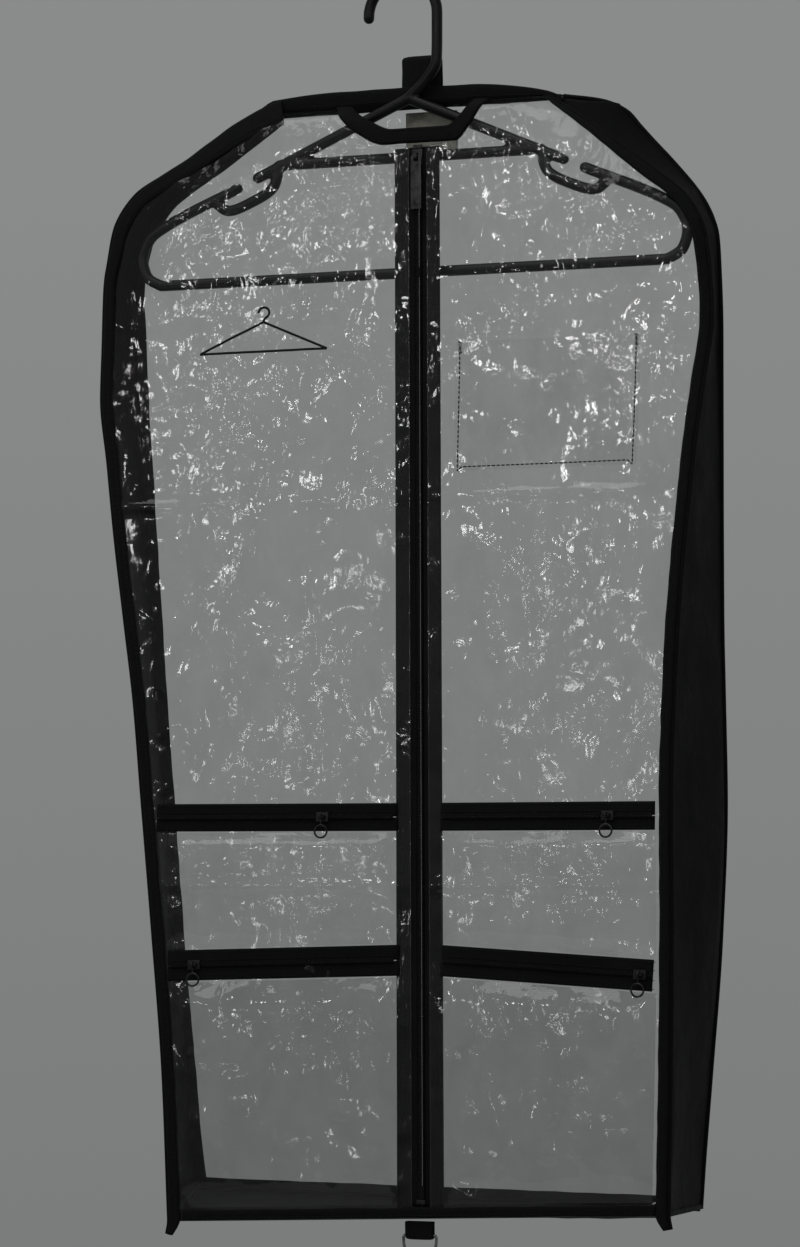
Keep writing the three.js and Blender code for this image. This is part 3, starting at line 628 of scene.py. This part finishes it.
def surface_y(grids, x, z):
    """Depth at x and z of the front made by a left and a right grid."""
    count = min(len(g) for g in grids.values())
    rows = np.concatenate([grids["left"][:count, ::-1], grids["right"][:count]], axis=1)
    level = -rows[:, grids["left"].shape[1], 2]
    i = int(np.clip(np.searchsorted(level, -z) - 1, 0, count - 2))
    t = float(np.clip((-z - level[i]) / (level[i + 1] - level[i]), 0, 1))
    near, far = (np.interp(x, rows[k, :, 0], rows[k, :, 1]) for k in (i, i + 1))
    return near * (1 - t) + far * t


def on_front(x, z, out=0.0, grids=film_grids):
    return np.array([x, surface_y(grids, x, z) - out, z])


def inward(path, side):
    """Unit directions in the XZ plane from an outline towards the inside of the bag."""
    ahead = tangents(path[:, [0, 2]])
    return -SIDES[side] * np.stack([-ahead[:, 1], 0 * ahead[:, 0], ahead[:, 0]], axis=1)


def wobble(path, amount, size, seed):
    """Small random offsets along a path, for sewn edges that aren't quite straight."""
    return amount * np.array([noise.noise((r / size, seed, 0.3)) for r in lengths(path)])[:, None]


def sheet_piece(name, shape, look, node):
    """A sheet in its hung shape."""
    piece = finish_piece(grid_object(name, shape), look, "bag", node)
    return piece


# ---- Films --------------------

FOLD_LINES = (-0.385, -0.664)  # where the bag was folded in its packing


def fold_ridges(grid, height, seed):
    """Broken ridges along the packing folds."""
    z = grid[..., 2]
    run = folds(grid, 30 * MM, seed, (1, 1, 0.2))
    ridge = sum(np.exp(-(((z - line) / (3.5 * MM) + 0.5 * run) ** 2)) for line in FOLD_LINES)
    return height * ridge * (0.75 + run)


def film_shape(grid, amount, size, seed, direction=(0, -1, 0)):
    shape = crumple(grid, direction, 0.8 * amount, amount, size, seed)
    ridges = fold_ridges(grid, 2.0 * MM, seed) * edge_fade(grid, 6 * MM)
    return shape + ridges[..., None] * np.array(direction, float)


film_shapes = {s: film_shape(film_grids[s], 1.1 * MM, 19 * MM, 11 + SIDES[s]) for s in SIDES}
for side in SIDES:
    sheet_piece(
        f"front_panel_{side}", film_shapes[side], "film",
        f"front_film_{side}")
back_shape = film_shape(back_grid, 1.2 * MM, 30 * MM, 31, (0, 1, 0))
sheet_piece("back_panel", back_shape, "film", "back_film")

POCKETS = [(level, side) for level in ("upper", "lower") for side in SIDES]
for seed, (level, side) in enumerate(POCKETS):
    node = f"{level}_pocket_{side}_film"
    pocket = refine(face_rows(node, 5), FILM_STEP)
    shape = film_shape(pocket, 1.5 * MM, 22 * MM, 41 + 5 * seed)
    # The lower pockets take the darker film, a painted shade
    look = "pocket_film" if level == "upper" else "low_pocket_film_shaded"
    sheet_piece(f"pocket_panel_{level}_{side}", shape, look, node)

# The bead along each film's edge beside the zip, from under the neck opening's trim
TRIM_FOOT = -0.122
for side in SIDES:
    below_trim = film_shapes[side][:, 0, 2] < TRIM_FOOT
    edge = resample(film_shapes[side][below_trim, 0], 6 * MM)
    bead = loft(f"film_bead_{side}", tube_rings(edge, 0.4 * MM, 8, (0, 1, 0)))
    finish_piece(bead, "film", "bag")


# ---- Card pocket --------------------

card = refine(face_rows("card_pocket", 3), FILM_STEP)
sheet_piece("card_sleeve", crumple(card, (0, -1, 0), 0.3 * MM, 0.3 * MM, 25 * MM, 71),
            "film", "card_pocket")
inset = 1  # grid lines from the sleeve's edge to its seam
sides_and_foot = np.concatenate([
    card[:, inset], card[-1 - inset, inset + 1:-inset - 1], card[::-1, -1 - inset]])
stitches("card_sleeve_stitches", sides_and_foot + mm(0, -0.3, 0), (0, -1, 0), 0.5 * MM)


def bartack(name, top, width, height):
    """A dense zigzag of thread that locks a seam's end."""
    turns = 9
    z = np.linspace(0, -height, 2 * turns)
    x = np.where(np.arange(2 * turns) % 2, width / 2, -width / 2)
    path = top + np.stack([x, np.full(len(x), -0.6 * MM), z], axis=1)
    return finish_piece(loft(name, tube_rings(path, 0.5 * MM, 6, (0, 1, 0))), "thread", "bag")


for side, column in (("left", inset), ("right", -1 - inset)):
    bartack(f"card_sleeve_bartack_{side}", card[0, column], 2.6 * MM, 8 * MM)


# ---- Gusset --------------------


for side in SIDES:
    outer_edges = outer_face(f"gusset_{side}", DOWN, TO_BACK, (0, SIDES[side]))
    cut = refine(outer_edges, 4 * MM)
    shape = crumple(cut, (SIDES[side], 0, 0), 2.6 * MM, 1.2 * MM, 34 * MM, 83 + SIDES[side],
                    9 * MM, (1, 1, 0.4))
    sheet_piece(f"gusset_panel_{side}", shape, "nylon", f"gusset_{side}")

hem_points = len(vertices("gusset_bottom")) // 4  # along each edge of its lower face
hem_edges = outer_face("gusset_bottom", TO_BACK, TO_RIGHT, DOWN, hem_points)
hem_edges[:, 0, 0] -= 2 * MM  # up to the side gussets
hem_edges[:, -1, 0] += 1.5 * MM
cut = refine(hem_edges, 5 * MM)
shape = crumple(cut, (0, 0, -1), 1.6 * MM, 1.0 * MM, 30 * MM, 91, 9 * MM, (0.5, 1, 1))
sheet_piece("gusset_panel_bottom", shape, "nylon", "gusset_bottom")

low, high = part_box("gusset_top")
cut = refine(np.array([[(low.x, y, high.z), (high.x, y, high.z)] for y in (low.y, high.y)]), 4 * MM)
shape = crumple(cut, (0, 0, 1), 0.8 * MM, 0.4 * MM, 30 * MM, 95, 5 * MM, (0.5, 1, 1))
sheet_piece("gusset_panel_top", shape, "nylon", "gusset_top")


# ---- Bindings --------------------

FORWARD, BACKWARD = (0, -1, 0), (0, 1, 0)
STAND_OFF = 0.9 * MM  # from the film to a binding's underside
FOLD_RADIUS = 1.9 * MM
LEAD_IN_RISE = {"left": 3, "right": -0.5}  # of a front binding's start above its seam, in mm
SHOULDER_END = -0.21  # height at which the left shoulder's binding has narrowed
BUNCHED = 8 * MM  # how far the left binding bunches outwards where it meets the top one


def sew(name, outer, inner, share, outwards, lift):
    """Stitches along a band, a share of the way across it and raised outwards."""
    stitches(name, outer * (1 - share) + inner * share + np.array(outwards) * lift, outwards)


def rolled_fold(name, path, radius, look="webbing", sides=10, reference=BACKWARD):
    """Cloth wrapped round the raw edges of a seam."""
    finish_piece(loft(name, tube_rings(path, radius, sides, reference)), look, "bag")


def front_binding(side):
    """The tape folded over a front seam, with a loose tail below the hem."""
    seam = front_seam[side]
    lead_in = seam[0] + mm(-SIDES[side] * 9, 1, LEAD_IN_RISE[side])
    tail = seam[-1] + mm(SIDES[side] * 1.5, 0, -9)
    path = resample(np.concatenate([[lead_in], seam[::3], [seam[-1], tail]]), 3 * MM)
    z = path[:, 2]
    shoulder = np.clip((z - SHOULDER_END) / 0.05, 0, 1)[:, None] if side == "left" else np.zeros((len(z), 1))
    width = BINDING_WIDTH + (SHOULDER_BINDING - BINDING_WIDTH) * shoulder
    width = width * np.clip(1 - (seam[-1, 2] - z[:, None]) / (18 * MM), 0.5, 1)
    if side == "right":  # pulled thin where it starts
        width = width * np.clip(0.3 + (seam[0, 2] - z[:, None]) / (75 * MM), 0.3, 1)
    inner = path + inward(path, side) * (width + wobble(path, 0.5 * MM, 14 * MM, 3))
    film = np.array([surface_y(film_grids, x, min(level, seam[0, 2])) for x, _, level in inner])
    spread = wobble(path, 0.4 * MM, 18 * MM, 5)
    if side == "left":  # bunched up outside its seam where it meets the top binding
        spread = spread - BUNCHED * np.clip(1 - (seam[0, 2] - z[:, None]) / (55 * MM), 0, 1)
    outer = path + np.array([0, -STAND_OFF, 0]) + inward(path, side) * spread
    inner[:, 1] = np.minimum(film, path[:, 1] + 4 * MM) - STAND_OFF
    band = strip(f"binding_front_{side}", outer, inner, FORWARD, BINDING_THICK)
    finish_piece(band, "webbing", "bag", f"front_binding_{side}")
    # The tape's fold, which wraps round the raw edges of the film and the gusset
    fold = path + mm(SIDES[side] * 0.5, 0.9, 0)
    fold_radius = FOLD_RADIUS * np.clip(0.25 + lengths(fold) / (24 * MM), 0, 1)
    rolled_fold(f"binding_front_{side}_fold", fold, fold_radius)
    sew(f"binding_front_{side}_stitches", outer, inner, 0.75, FORWARD, 0.98 * BINDING_THICK)


def level_binding(name, node, rails, outwards, thick):
    """A binding along the top or bottom edge, sewn near its lower or upper side."""
    top, bottom = (resample(rail, 4 * MM) for rail in rails)
    count = min(len(top), len(bottom))
    top, bottom = (resample(rail, lengths(rail)[-1] / (count - 1)) for rail in (top, bottom))
    top[:, 2:] += wobble(top, 0.5 * MM, 20 * MM, 7)
    bottom[:, 2:] += wobble(bottom, 0.4 * MM, 16 * MM, 9)
    finish_piece(strip(name, top, bottom, outwards, thick), "webbing", "bag", node)
    sew(name + "_stitches", top, bottom, 0.75, outwards, 0.98 * thick)


def back_binding(side):
    path = resample(back_seam[side][::2], 4 * MM)
    path[:, 1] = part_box(f"back_binding_{side}")[0].y
    inner = path + inward(path, side) * (BINDING_WIDTH + wobble(path, 0.5 * MM, 16 * MM, 11))
    band = strip(f"binding_back_{side}", path, inner, BACKWARD, 1.4 * MM)
    finish_piece(band, "webbing", "bag", f"back_binding_{side}")
    fold = resample(back_seam[side][::2], 4 * MM) + mm(SIDES[side] * 0.6, 0.2, 0)
    rolled_fold(f"binding_back_{side}_fold", fold, 1.7 * MM)
    sew(f"binding_back_{side}_stitches", path, inner, 0.7, BACKWARD, 1.38 * MM)


for side in SIDES:
    front_binding(side)
    back_binding(side)


def run_on(end, *steps):
    """Points past a band's end, from (x, z) shifts in mm of its upper and lower corners."""
    points = [[corner + mm(x, 0, z) for corner, (x, z) in zip(end, step)]
              for step in steps]
    return np.array(points).transpose(1, 0, 2)


# Past its ends the top band runs on down each shoulder into the front bindings
top_rails = band_rails("top_binding") + np.array([0, BINDING_THICK, 0])
top_rails[0, 0, 2] -= 1 * MM
top_rails[0, -1, 2] -= 2 * MM
top_rails = np.concatenate([
    run_on(top_rails[:, 0], [(-12, -6.5), (-10, -5)]), top_rails,
    run_on(top_rails[:, -1], [(9, -3.5), (8, -1.5)], [(16, -8.5), (14, -5)])], axis=1)
level_binding("binding_top", "top_binding", top_rails, FORWARD, BINDING_THICK)
hem = np.concatenate([film_grids["left"][-1, ::-1], film_grids["right"][-1]])
hem = hem[(hem[:, 0] > hem[0, 0] + 7 * MM) & (hem[:, 0] < hem[-1, 0] - 7 * MM)]
hem_rails = [hem + np.array([0, -STAND_OFF, up]) for up in (BINDING_WIDTH, 0.5 * MM)]
level_binding("binding_bottom", "bottom_binding", hem_rails, FORWARD, BINDING_THICK)
for place in ("top", "bottom"):
    rails = band_rails(f"back_binding_{place}")
    if place == "top":  # its ends bend down to the shoulders
        rails[0, [0, -1], 2] -= 3.5 * MM
        ends = [run_on(rails[:, end], [(x, -4.5)] * 2) for end, x in ((0, -9), (-1, 9))]
        rails = np.concatenate([ends[0], rails, ends[1]], axis=1)
    level_binding(f"binding_back_{place}", f"back_binding_{place}", rails, BACKWARD, 1.0 * MM)
back_hem = resample(np.array([back_seam["left"][-1], back_seam["right"][-1]]), 4 * MM)
back_hem = back_hem + wobble(back_hem, 0.4 * MM, 22 * MM, 15)
rolled_fold("binding_back_hem_fold", back_hem, FOLD_RADIUS)

# The seams where the side gussets meet the bottom one
for side in SIDES:
    corner = resample(np.array([front_seam[side][-1], back_seam[side][-1]]), 4 * MM)
    rolled_fold(f"gusset_corner_fold_{side}", corner + mm(0, 0, 1.5), 2.2 * MM, "nylon", 8, (1, 0, 0))

# The neck opening's trim, from its left end down, across above the zip and up to its right end
TRIM_OUTER = [(-58, -87), (-51, -98), (-37, -111), (-16, -121), (39, -121), (50, -109), (57, -97), (62, -87)]
TRIM_INNER = [(-45, -87), (-38.5, -94), (-25, -103), (-10, -109), (31, -109), (40, -103), (45.5, -94.5),
              (49, -87)]
TRIM_THICK = 2.4 * MM


def opening_trim():
    yoke = film_grids["left"][:, 0]
    outer, inner = (
        np.array([(x * MM, np.interp(-z * MM, -yoke[:, 2], yoke[:, 1]) + TRIM_THICK / 2, z * MM)
                  for x, z in outline])
        for outline in (TRIM_OUTER, TRIM_INNER))
    run = lengths((outer + inner) / 2)
    both = pchip(run, np.hstack([outer, inner]), np.arange(0, run[-1], 2 * MM))
    outer, inner = both[:, :3], both[:, 3:]
    outer[:, 2:] += wobble(outer, 0.4 * MM, 15 * MM, 13)
    trim = strip("neck_trim", outer, inner, FORWARD, TRIM_THICK)
    finish_piece(trim, "webbing", "bag", "opening_trim")
    for share in (0.16, 0.84):
        name = f"neck_trim_stitches_{round(100 * share)}"
        sew(name, outer, inner, share, FORWARD, 0.93 * TRIM_THICK)


opening_trim()


# ---- Zips --------------------


def coil_rings(base, along, across, out, start, end, half_width, height, pitch):
    """One side's turns of a coil: arches across the zip that hook past its middle."""
    shape = [(1, 0.1), (0.72, 0.8), (0.12, 0.95), (-0.22, 0.5)]  # shares of its half width and height
    rings = []
    for place in np.arange(start, end, pitch):
        path = [base + along * place + across * (w * half_width) + out * (h * height) for w, h in shape]
        rings.append(tube_rings(path, 0.29 * pitch, 6, along))
    return rings


def tape_strip(name, node, base, along, across, out, start, end, near, far, seed):
    """A woven zip tape, with a little wave along it."""
    run = np.arange(start, end, 4 * MM)[:, None]
    rails = [base + along * run + across * offset for offset in (near, far)]
    rails[1] = rails[1] + out * wobble(rails[1], 0.25 * MM, 40 * MM, seed)
    tape = strip(name, rails[0], rails[1], out, 0.9 * MM, square=16)
    return finish_piece(tape, "tape", "bag", node)


def main_zip():
    centre, along, across, out = local_frame("zip_tape_left", "zip_tape_right")
    points = np.concatenate([vertices(f"zip_tape_{s}") for s in SIDES]) - centre
    half_length, half_width = np.abs(points @ along).max(), np.abs(points @ across).max()
    under = centre - out * 0.5 * MM
    coil = np.concatenate([vertices(f"zip_coil_{s}") for s in SIDES]) - centre
    start, end = (coil @ along).min(), (coil @ along).max()
    coil_half, coil_base = np.abs(coil @ across).max(), (coil @ out).min()
    pitch = 1.45 * MM
    for side, sign in SIDES.items():
        edge = half_width + (3 * MM if side == "left" else 0.5 * MM)
        tape_strip(f"main_tape_{side}", f"zip_tape_{side}", under, along, sign * across, out,
                   -half_length, half_length, 0.3 * MM, edge, 17 + sign)
        turns = coil_rings(centre + out * coil_base, along, sign * across, out,
                           start + (1 + sign) / 4 * pitch, end, coil_half, 1.4 * MM, pitch)
        finish_piece(join_lofts(f"main_coil_{side}", turns), "coil", "bag", f"zip_coil_{side}")
        for offset in (coil_half + 1 * MM, half_width - 2 * MM):
            line = under + along * np.arange(-half_length, half_length, 20 * MM)[:, None]
            line = line + sign * across * offset + out * 0.95 * MM
            stitches(f"main_tape_{side}_stitches_{round(offset / MM)}", line, out)
    for node, look, body in (
        ("zip_top_stop", "slider", "bag"), ("zip_bottom_stop", "slider", "bag"),
        ("main_slider", "slider", "main_slider"), ("main_pull", "pull", "main_pull"),
    ):
        finish_piece(bevelled(node, node.replace("zip_", "main_") + "_shape", 0.28 * MM), look, body, node)


JOINTS = {joint["name"]: joint for joint in frame["joints"]}


def ring_pull(level, side, along, wide, out):
    """A wire ring on a short stem, whose eye goes round the slider's arch."""
    prefix = f"{level}_pocket_{side}_"
    pivot = np.array(JOINTS[prefix + "pull_swing"]["pos_m"])
    turn = np.linspace(0, 2 * math.pi, 33)[:-1, None]
    eye = pivot + 2.0 * MM * (np.cos(turn) * wide + np.sin(turn) * out)
    ring = pivot - wide * 10.7 * MM + 4.5 * MM * (np.cos(turn) * along + np.sin(turn) * wide)
    stem = pivot - wide * (np.array([2.0, 3.2, 5.0, 6.4]) * MM)[:, None]
    wires = [tube_rings(eye, 0.42 * MM, 8, along, 1.4, closed=True),
             tube_rings(ring, 0.72 * MM, 10, out, closed=True)]
    pull = join_lofts(prefix + "ring_pull", [rounded_tube(stem, 0.6 * MM, 10, out)], wires)
    finish_piece(pull, "pull", prefix + "pull", prefix + "pull")


def pocket_zip(level, side, seed):
    prefix = f"{level}_pocket_{side}_"
    tapes = [prefix + "tape_top", prefix + "tape_bottom"]
    centre, along, wide, out = local_frame(*tapes)
    points = np.concatenate([vertices(n) for n in tapes]) - centre
    half_length, half_width = np.abs(points @ along).max(), np.abs(points @ wide).max()
    under = centre - out * 0.5 * MM
    start, end = -half_length, half_length
    if side == "left":
        end += 3.5 * MM  # up to the main zip's tape
    for node, sign in zip(tapes, (1, -1)):
        tape_strip(node + "_cloth", node, under, along, sign * wide, out,
                   start, end, 0.3 * MM, half_width, seed)
        line = under + along * np.linspace(-half_length, half_length, 12)[:, None]
        for name, offset in (("inner", 3.4 * MM), ("outer", half_width - 1.6 * MM)):
            row = line + sign * wide * offset + out * 0.95 * MM
            stitches(f"{node}_stitches_{name}", row, out)
    coil = vertices(prefix + "coil") - centre
    start, end = (coil @ along).min(), (coil @ along).max()
    pitch = 1.25 * MM
    turns = []
    for sign in (1, -1):
        turns += coil_rings(centre + out * (coil @ out).min(), along, sign * wide, out,
                            start + (1 + sign) / 4 * pitch, end, 2.0 * MM, 1.2 * MM, pitch)
    finish_piece(join_lofts(prefix + "coil_turns", turns), "coil", "bag", prefix + "coil")
    slider = prefix + "slider"
    finish_piece(bevelled(slider, slider + "_shape", 0.22 * MM), "slider", slider, slider)
    ring_pull(level, side, along, wide, out)


main_zip()
for seed, (level, side) in enumerate(POCKETS):
    pocket_zip(level, side, 23 + seed)


# ---- Straps, label and ring --------------------


def folded_strap(name, node, thick, seed):
    """A strap folded over on itself round a level axis; it hangs from or stands on its fold."""
    low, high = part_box(node)
    loop_up = node == "hang_loop"
    sign = 1 if loop_up else -1
    radius = (high.y - low.y) / 2 - thick / 2
    middle = (high.y + low.y) / 2
    fold, end = (high.z, low.z) if loop_up else (low.z, high.z)
    centre_z = fold - sign * (radius + thick / 2)
    leg = np.linspace(end, centre_z, 8)
    turn = np.linspace(0, math.pi, 17)
    y = np.concatenate([np.full(8, middle - radius), middle - radius * np.cos(turn[1:-1]),
                        np.full(8, middle + radius)])
    z = np.concatenate([leg, centre_z + sign * radius * np.sin(turn[1:-1]), leg[::-1]])
    path = np.stack([0 * y, y, z], axis=1)
    ahead = tangents(path)
    outwards = sign * np.stack([0 * y, -ahead[:, 2], ahead[:, 1]], axis=1)
    path = path - outwards * thick / 2
    waver = wobble(path, 0.4 * MM, 12 * MM, seed)[:, 0]
    rails = [path + np.stack([x + waver, 0 * y, 0 * y], axis=1) for x in (low.x, high.x)]
    return finish_piece(strip(name, *rails, outwards, thick, 6), "webbing", "bag", node)


folded_strap("hanging_loop", "hang_loop", 2.0 * MM, 2)
folded_strap("ring_tab", "bottom_tab", 1.5 * MM, 4)

low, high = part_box("care_label")
drop = np.linspace(high.z, low.z, 14)
curl = low.y + 0.4 * MM + 1.2 * MM * np.sin((high.z - drop) / (high.z - low.z) * 2.4)
rails = [np.stack([np.full(14, x), curl, drop], axis=1) for x in (low.x, high.x)]
finish_piece(strip("care_label_cloth", *rails, FORWARD, 0.6 * MM, 16), "label", "bag", "care_label")


def bottom_ring():
    """A D of round wire: a straight bar inside the tab and a deep curve below it."""
    pivot = np.array(JOINTS["bottom_ring_swing"]["pos_m"])
    half, shoulder, depth, corner = 12.0, 4.0, 13.0, 1.6  # in mm
    turn = np.linspace(math.pi, 2 * math.pi, 25)
    bow = [(half * math.cos(a), -shoulder + depth * math.sin(a)) for a in turn]
    bar = [(half, -corner), (half - 0.5, -0.5), (half - corner, 0)]
    bar += [(x, 0) for x in np.linspace(half - corner - 2, -half + corner + 2, 7)]
    bar += [(-half + corner, 0), (-half + 0.5, -0.5), (-half, -corner)]
    path = pivot + np.array([(x, 0, z) for x, z in bow + bar]) * MM
    ring = loft("d_ring", tube_rings(path, 1.05 * MM, 12, (0, 1, 0), closed=True), closed=True)
    finish_piece(ring, "steel", "bottom_ring", "bottom_ring")


bottom_ring()


# ---- Hanger --------------------

TUBE_RADIUS = 4.2 * MM
HOOK_RADIUS = 26.4 * MM  # to the tube's centre line
HOOK_CENTRE = (-4.5 * MM, -21.74 * MM)
APEX = (0.0, -85 * MM)
ARM_SLOPE = 0.445
HALF_WIDTH = 210 * MM
UPPER_BAR_Z, LOWER_BAR_Z = -129 * MM, -215 * MM


def flat_path(points, step=2.5 * MM):
    """A smooth path in the hanger's own plane."""
    return resample([(x, 0, z) for x, z in points], step)


def hanger():
    def arm_z(x):
        return APEX[1] - ARM_SLOPE * x

    hook = []
    for i in range(25):
        a = math.radians(183 * (1 - i / 24))
        hook.append((HOOK_CENTRE[0] + HOOK_RADIUS * math.cos(a), HOOK_CENTRE[1] + HOOK_RADIUS * math.sin(a)))
    shank = HOOK_CENTRE[0] + HOOK_RADIUS
    hook += [(shank, -42 * MM), (shank - 0.5 * MM, -58 * MM), (shank - 7 * MM, -70 * MM), APEX]
    paths = [flat_path(hook)]
    for sign in (-1, 1):
        outer = [(134, None), (HALF_WIDTH / MM - 17, -171), (HALF_WIDTH / MM - 6, -179),
                 (HALF_WIDTH / MM, -194), (HALF_WIDTH / MM - 4, -208), (HALF_WIDTH / MM - 15, -215)]
        bridge = [(101, -129), (105, -144), (122, -155), (141, -161), (153, None)]
        for outline in (outer, bridge):
            paths.append(flat_path([
                (sign * x * MM, arm_z(x * MM) if z is None else z * MM) for x, z in outline]))
        paths.append(flat_path([APEX, (sign * 118 * MM, arm_z(118 * MM))]))
    for half, z in ((101 * MM, UPPER_BAR_Z), (HALF_WIDTH - 15 * MM, LOWER_BAR_Z)):
        paths.append(flat_path([(-half, z), (half, z)]))
    rough = join_lofts("hanger_body", [rounded_tube(p, TUBE_RADIUS, 20, (0, 1, 0)) for p in paths])
    fuse = rough.modifiers.new("fuse", "REMESH")
    fuse.mode, fuse.voxel_size = "VOXEL", 1.15 * MM
    soften = rough.modifiers.new("soften", "SMOOTH")
    soften.factor, soften.iterations = 0.5, 6
    fused = bpy.data.meshes.new_from_object(rough.evaluated_get(bpy.context.evaluated_depsgraph_get()))
    rough.modifiers.clear()
    rough.data = fused
    smooth(fused)
    return finish_piece(rough, "plastic", "hanger", "hanger")


hanger()


# ---- Printed mark: a plain line drawing of a coat hanger --------------------

MARK_CENTRE, MARK_HALF, MARK_HEIGHT = (-105 * MM, -272 * MM), 50 * MM, 22 * MM
MARK_LINE = 0.9 * MM


def printed_mark():
    x0, z0 = MARK_CENTRE
    hook = [(x0 + 4.2 * MM * math.cos(a), z0 + MARK_HEIGHT + 7 * MM + 4.2 * MM * math.sin(a))
            for a in np.linspace(math.pi, -0.45 * math.pi, 12)]
    left, right, top = (x0 - MARK_HALF, z0), (x0 + MARK_HALF, z0), (x0, z0 + MARK_HEIGHT)
    strokes = [hook + [top], [top, right], [right, left], [left, top]]
    rings = []
    for stroke in strokes:
        flat = resample([(x, 0, z) for x, z in stroke], 2 * MM)
        path = [on_front(x, z, 0.3 * MM, film_shapes) for x, _, z in flat]
        rings.append(tube_rings(path, MARK_LINE, 8, (0, 1, 0), 0.2))
    return finish_piece(join_lofts("printed_mark", rings), "print", "bag")


printed_mark()


# ---- Floor, light and camera --------------------


FLOOR_SHADE = 0.52


def studio():
    pale = Look("studio_floor")
    mottle = pale.noise(pale.here, 3.0, 4.0)
    colour = pale.colours(mottle, (0.3, (0.97 * FLOOR_SHADE,) * 3), (0.7, (FLOOR_SHADE,) * 3))
    floor = grid_object("floor", refine(np.array([
        [(-2.2, y, 0), (2.2, y, 0)] for y in (-2.2, 1.6)], float), 0.4))
    floor.location.z = CAD_LOW.z - 0.42
    floor.data.materials.append(pale.principled(Base_Color=colour, Roughness=0.7))
    floor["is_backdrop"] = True

    # The wall behind is paler than the dark room in front that the film mirrors
    world = Look("studio", bpy.data.worlds, "OutputWorld")
    split = world.add("SeparateXYZ", {0: world.direction})

    def graded(axis, start, end, low, high):
        """Shades that change over one direction of the studio."""
        stops = [(at, (shade, shade * 1.01, shade * 1.012)) for at, shade in ((0, low), (1, high))]
        return world.colours(world.between(split.outputs[axis], start, end), *stops)

    behind = graded("Z", -0.11, 0.2, 0.198, 0.256)
    in_front = graded("Z", -0.14, 0.22, 0.05, 0.15)
    blend = world.add("Mix", {0: graded("Y", -0.45, 0.25, 0.0, 1.0), 6: in_front, 7: behind},
                      data_type="RGBA")
    world.show(world.add("Background", {"Color": blend.outputs[2]}))
    bpy.context.scene.world = world.material

    def lamp(name, place, size, watts):
        data = bpy.data.lights.new(name, "AREA")
        data.shape, data.size, data.size_y, data.energy = "RECTANGLE", size[0], size[1], watts
        light = placed(name, data)
        light.location = place
        aim = Vector((0, 0, (CAD_LOW.z + CAD_HIGH.z) / 2)) - Vector(place)
        light.rotation_euler = aim.to_track_quat("-Z", "Y").to_euler()

    lamp("ceiling_panel", (-0.3, -1.1, 1.7), (1.8, 1.2), 12)
    # Small bright lamps for the film's crinkles to catch
    lamps = {  # place, width and watts
        "near_left": ((-1.15, -2.1, 0.5), 0.17, 1.5), "near_middle": ((-0.25, -2.5, 0.85), 0.21, 2.9),
        "near_right": ((0.7, -2.4, 0.55), 0.17, 1.6), "low": ((-0.65, -2.4, -0.35), 0.1, 0.45),
        "side_left": ((-2.1, -1.5, 0.1), 0.18, 2.4), "side_right": ((2.0, -1.9, 0.2), 0.18, 2.4),
    }
    for name, (place, width, watts) in lamps.items():
        lamp(name + "_lamp", place, (width, width), watts)


def camera():
    data = bpy.data.cameras.new("camera")
    data.sensor_width = 36
    data.lens = CAMERA_LENS
    data.clip_start, data.clip_end = 0.05, 50
    level = Vector((-math.sin(CAMERA_AZIMUTH), math.cos(CAMERA_AZIMUTH), 0))
    ahead = level * math.cos(CAMERA_PITCH) + Vector((0, 0, math.sin(CAMERA_PITCH)))
    right = Vector((math.cos(CAMERA_AZIMUTH), math.sin(CAMERA_AZIMUTH), 0))
    up = right.cross(ahead)
    turn = Matrix((right, up, -ahead)).transposed().to_4x4()
    holder = placed("camera", data)
    holder.matrix_world = Matrix.Translation(CAMERA_PLACE) @ turn
    bpy.context.scene.camera = holder


studio()
camera()
bpy.context.scene.view_settings.view_transform = "Standard"

low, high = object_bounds()
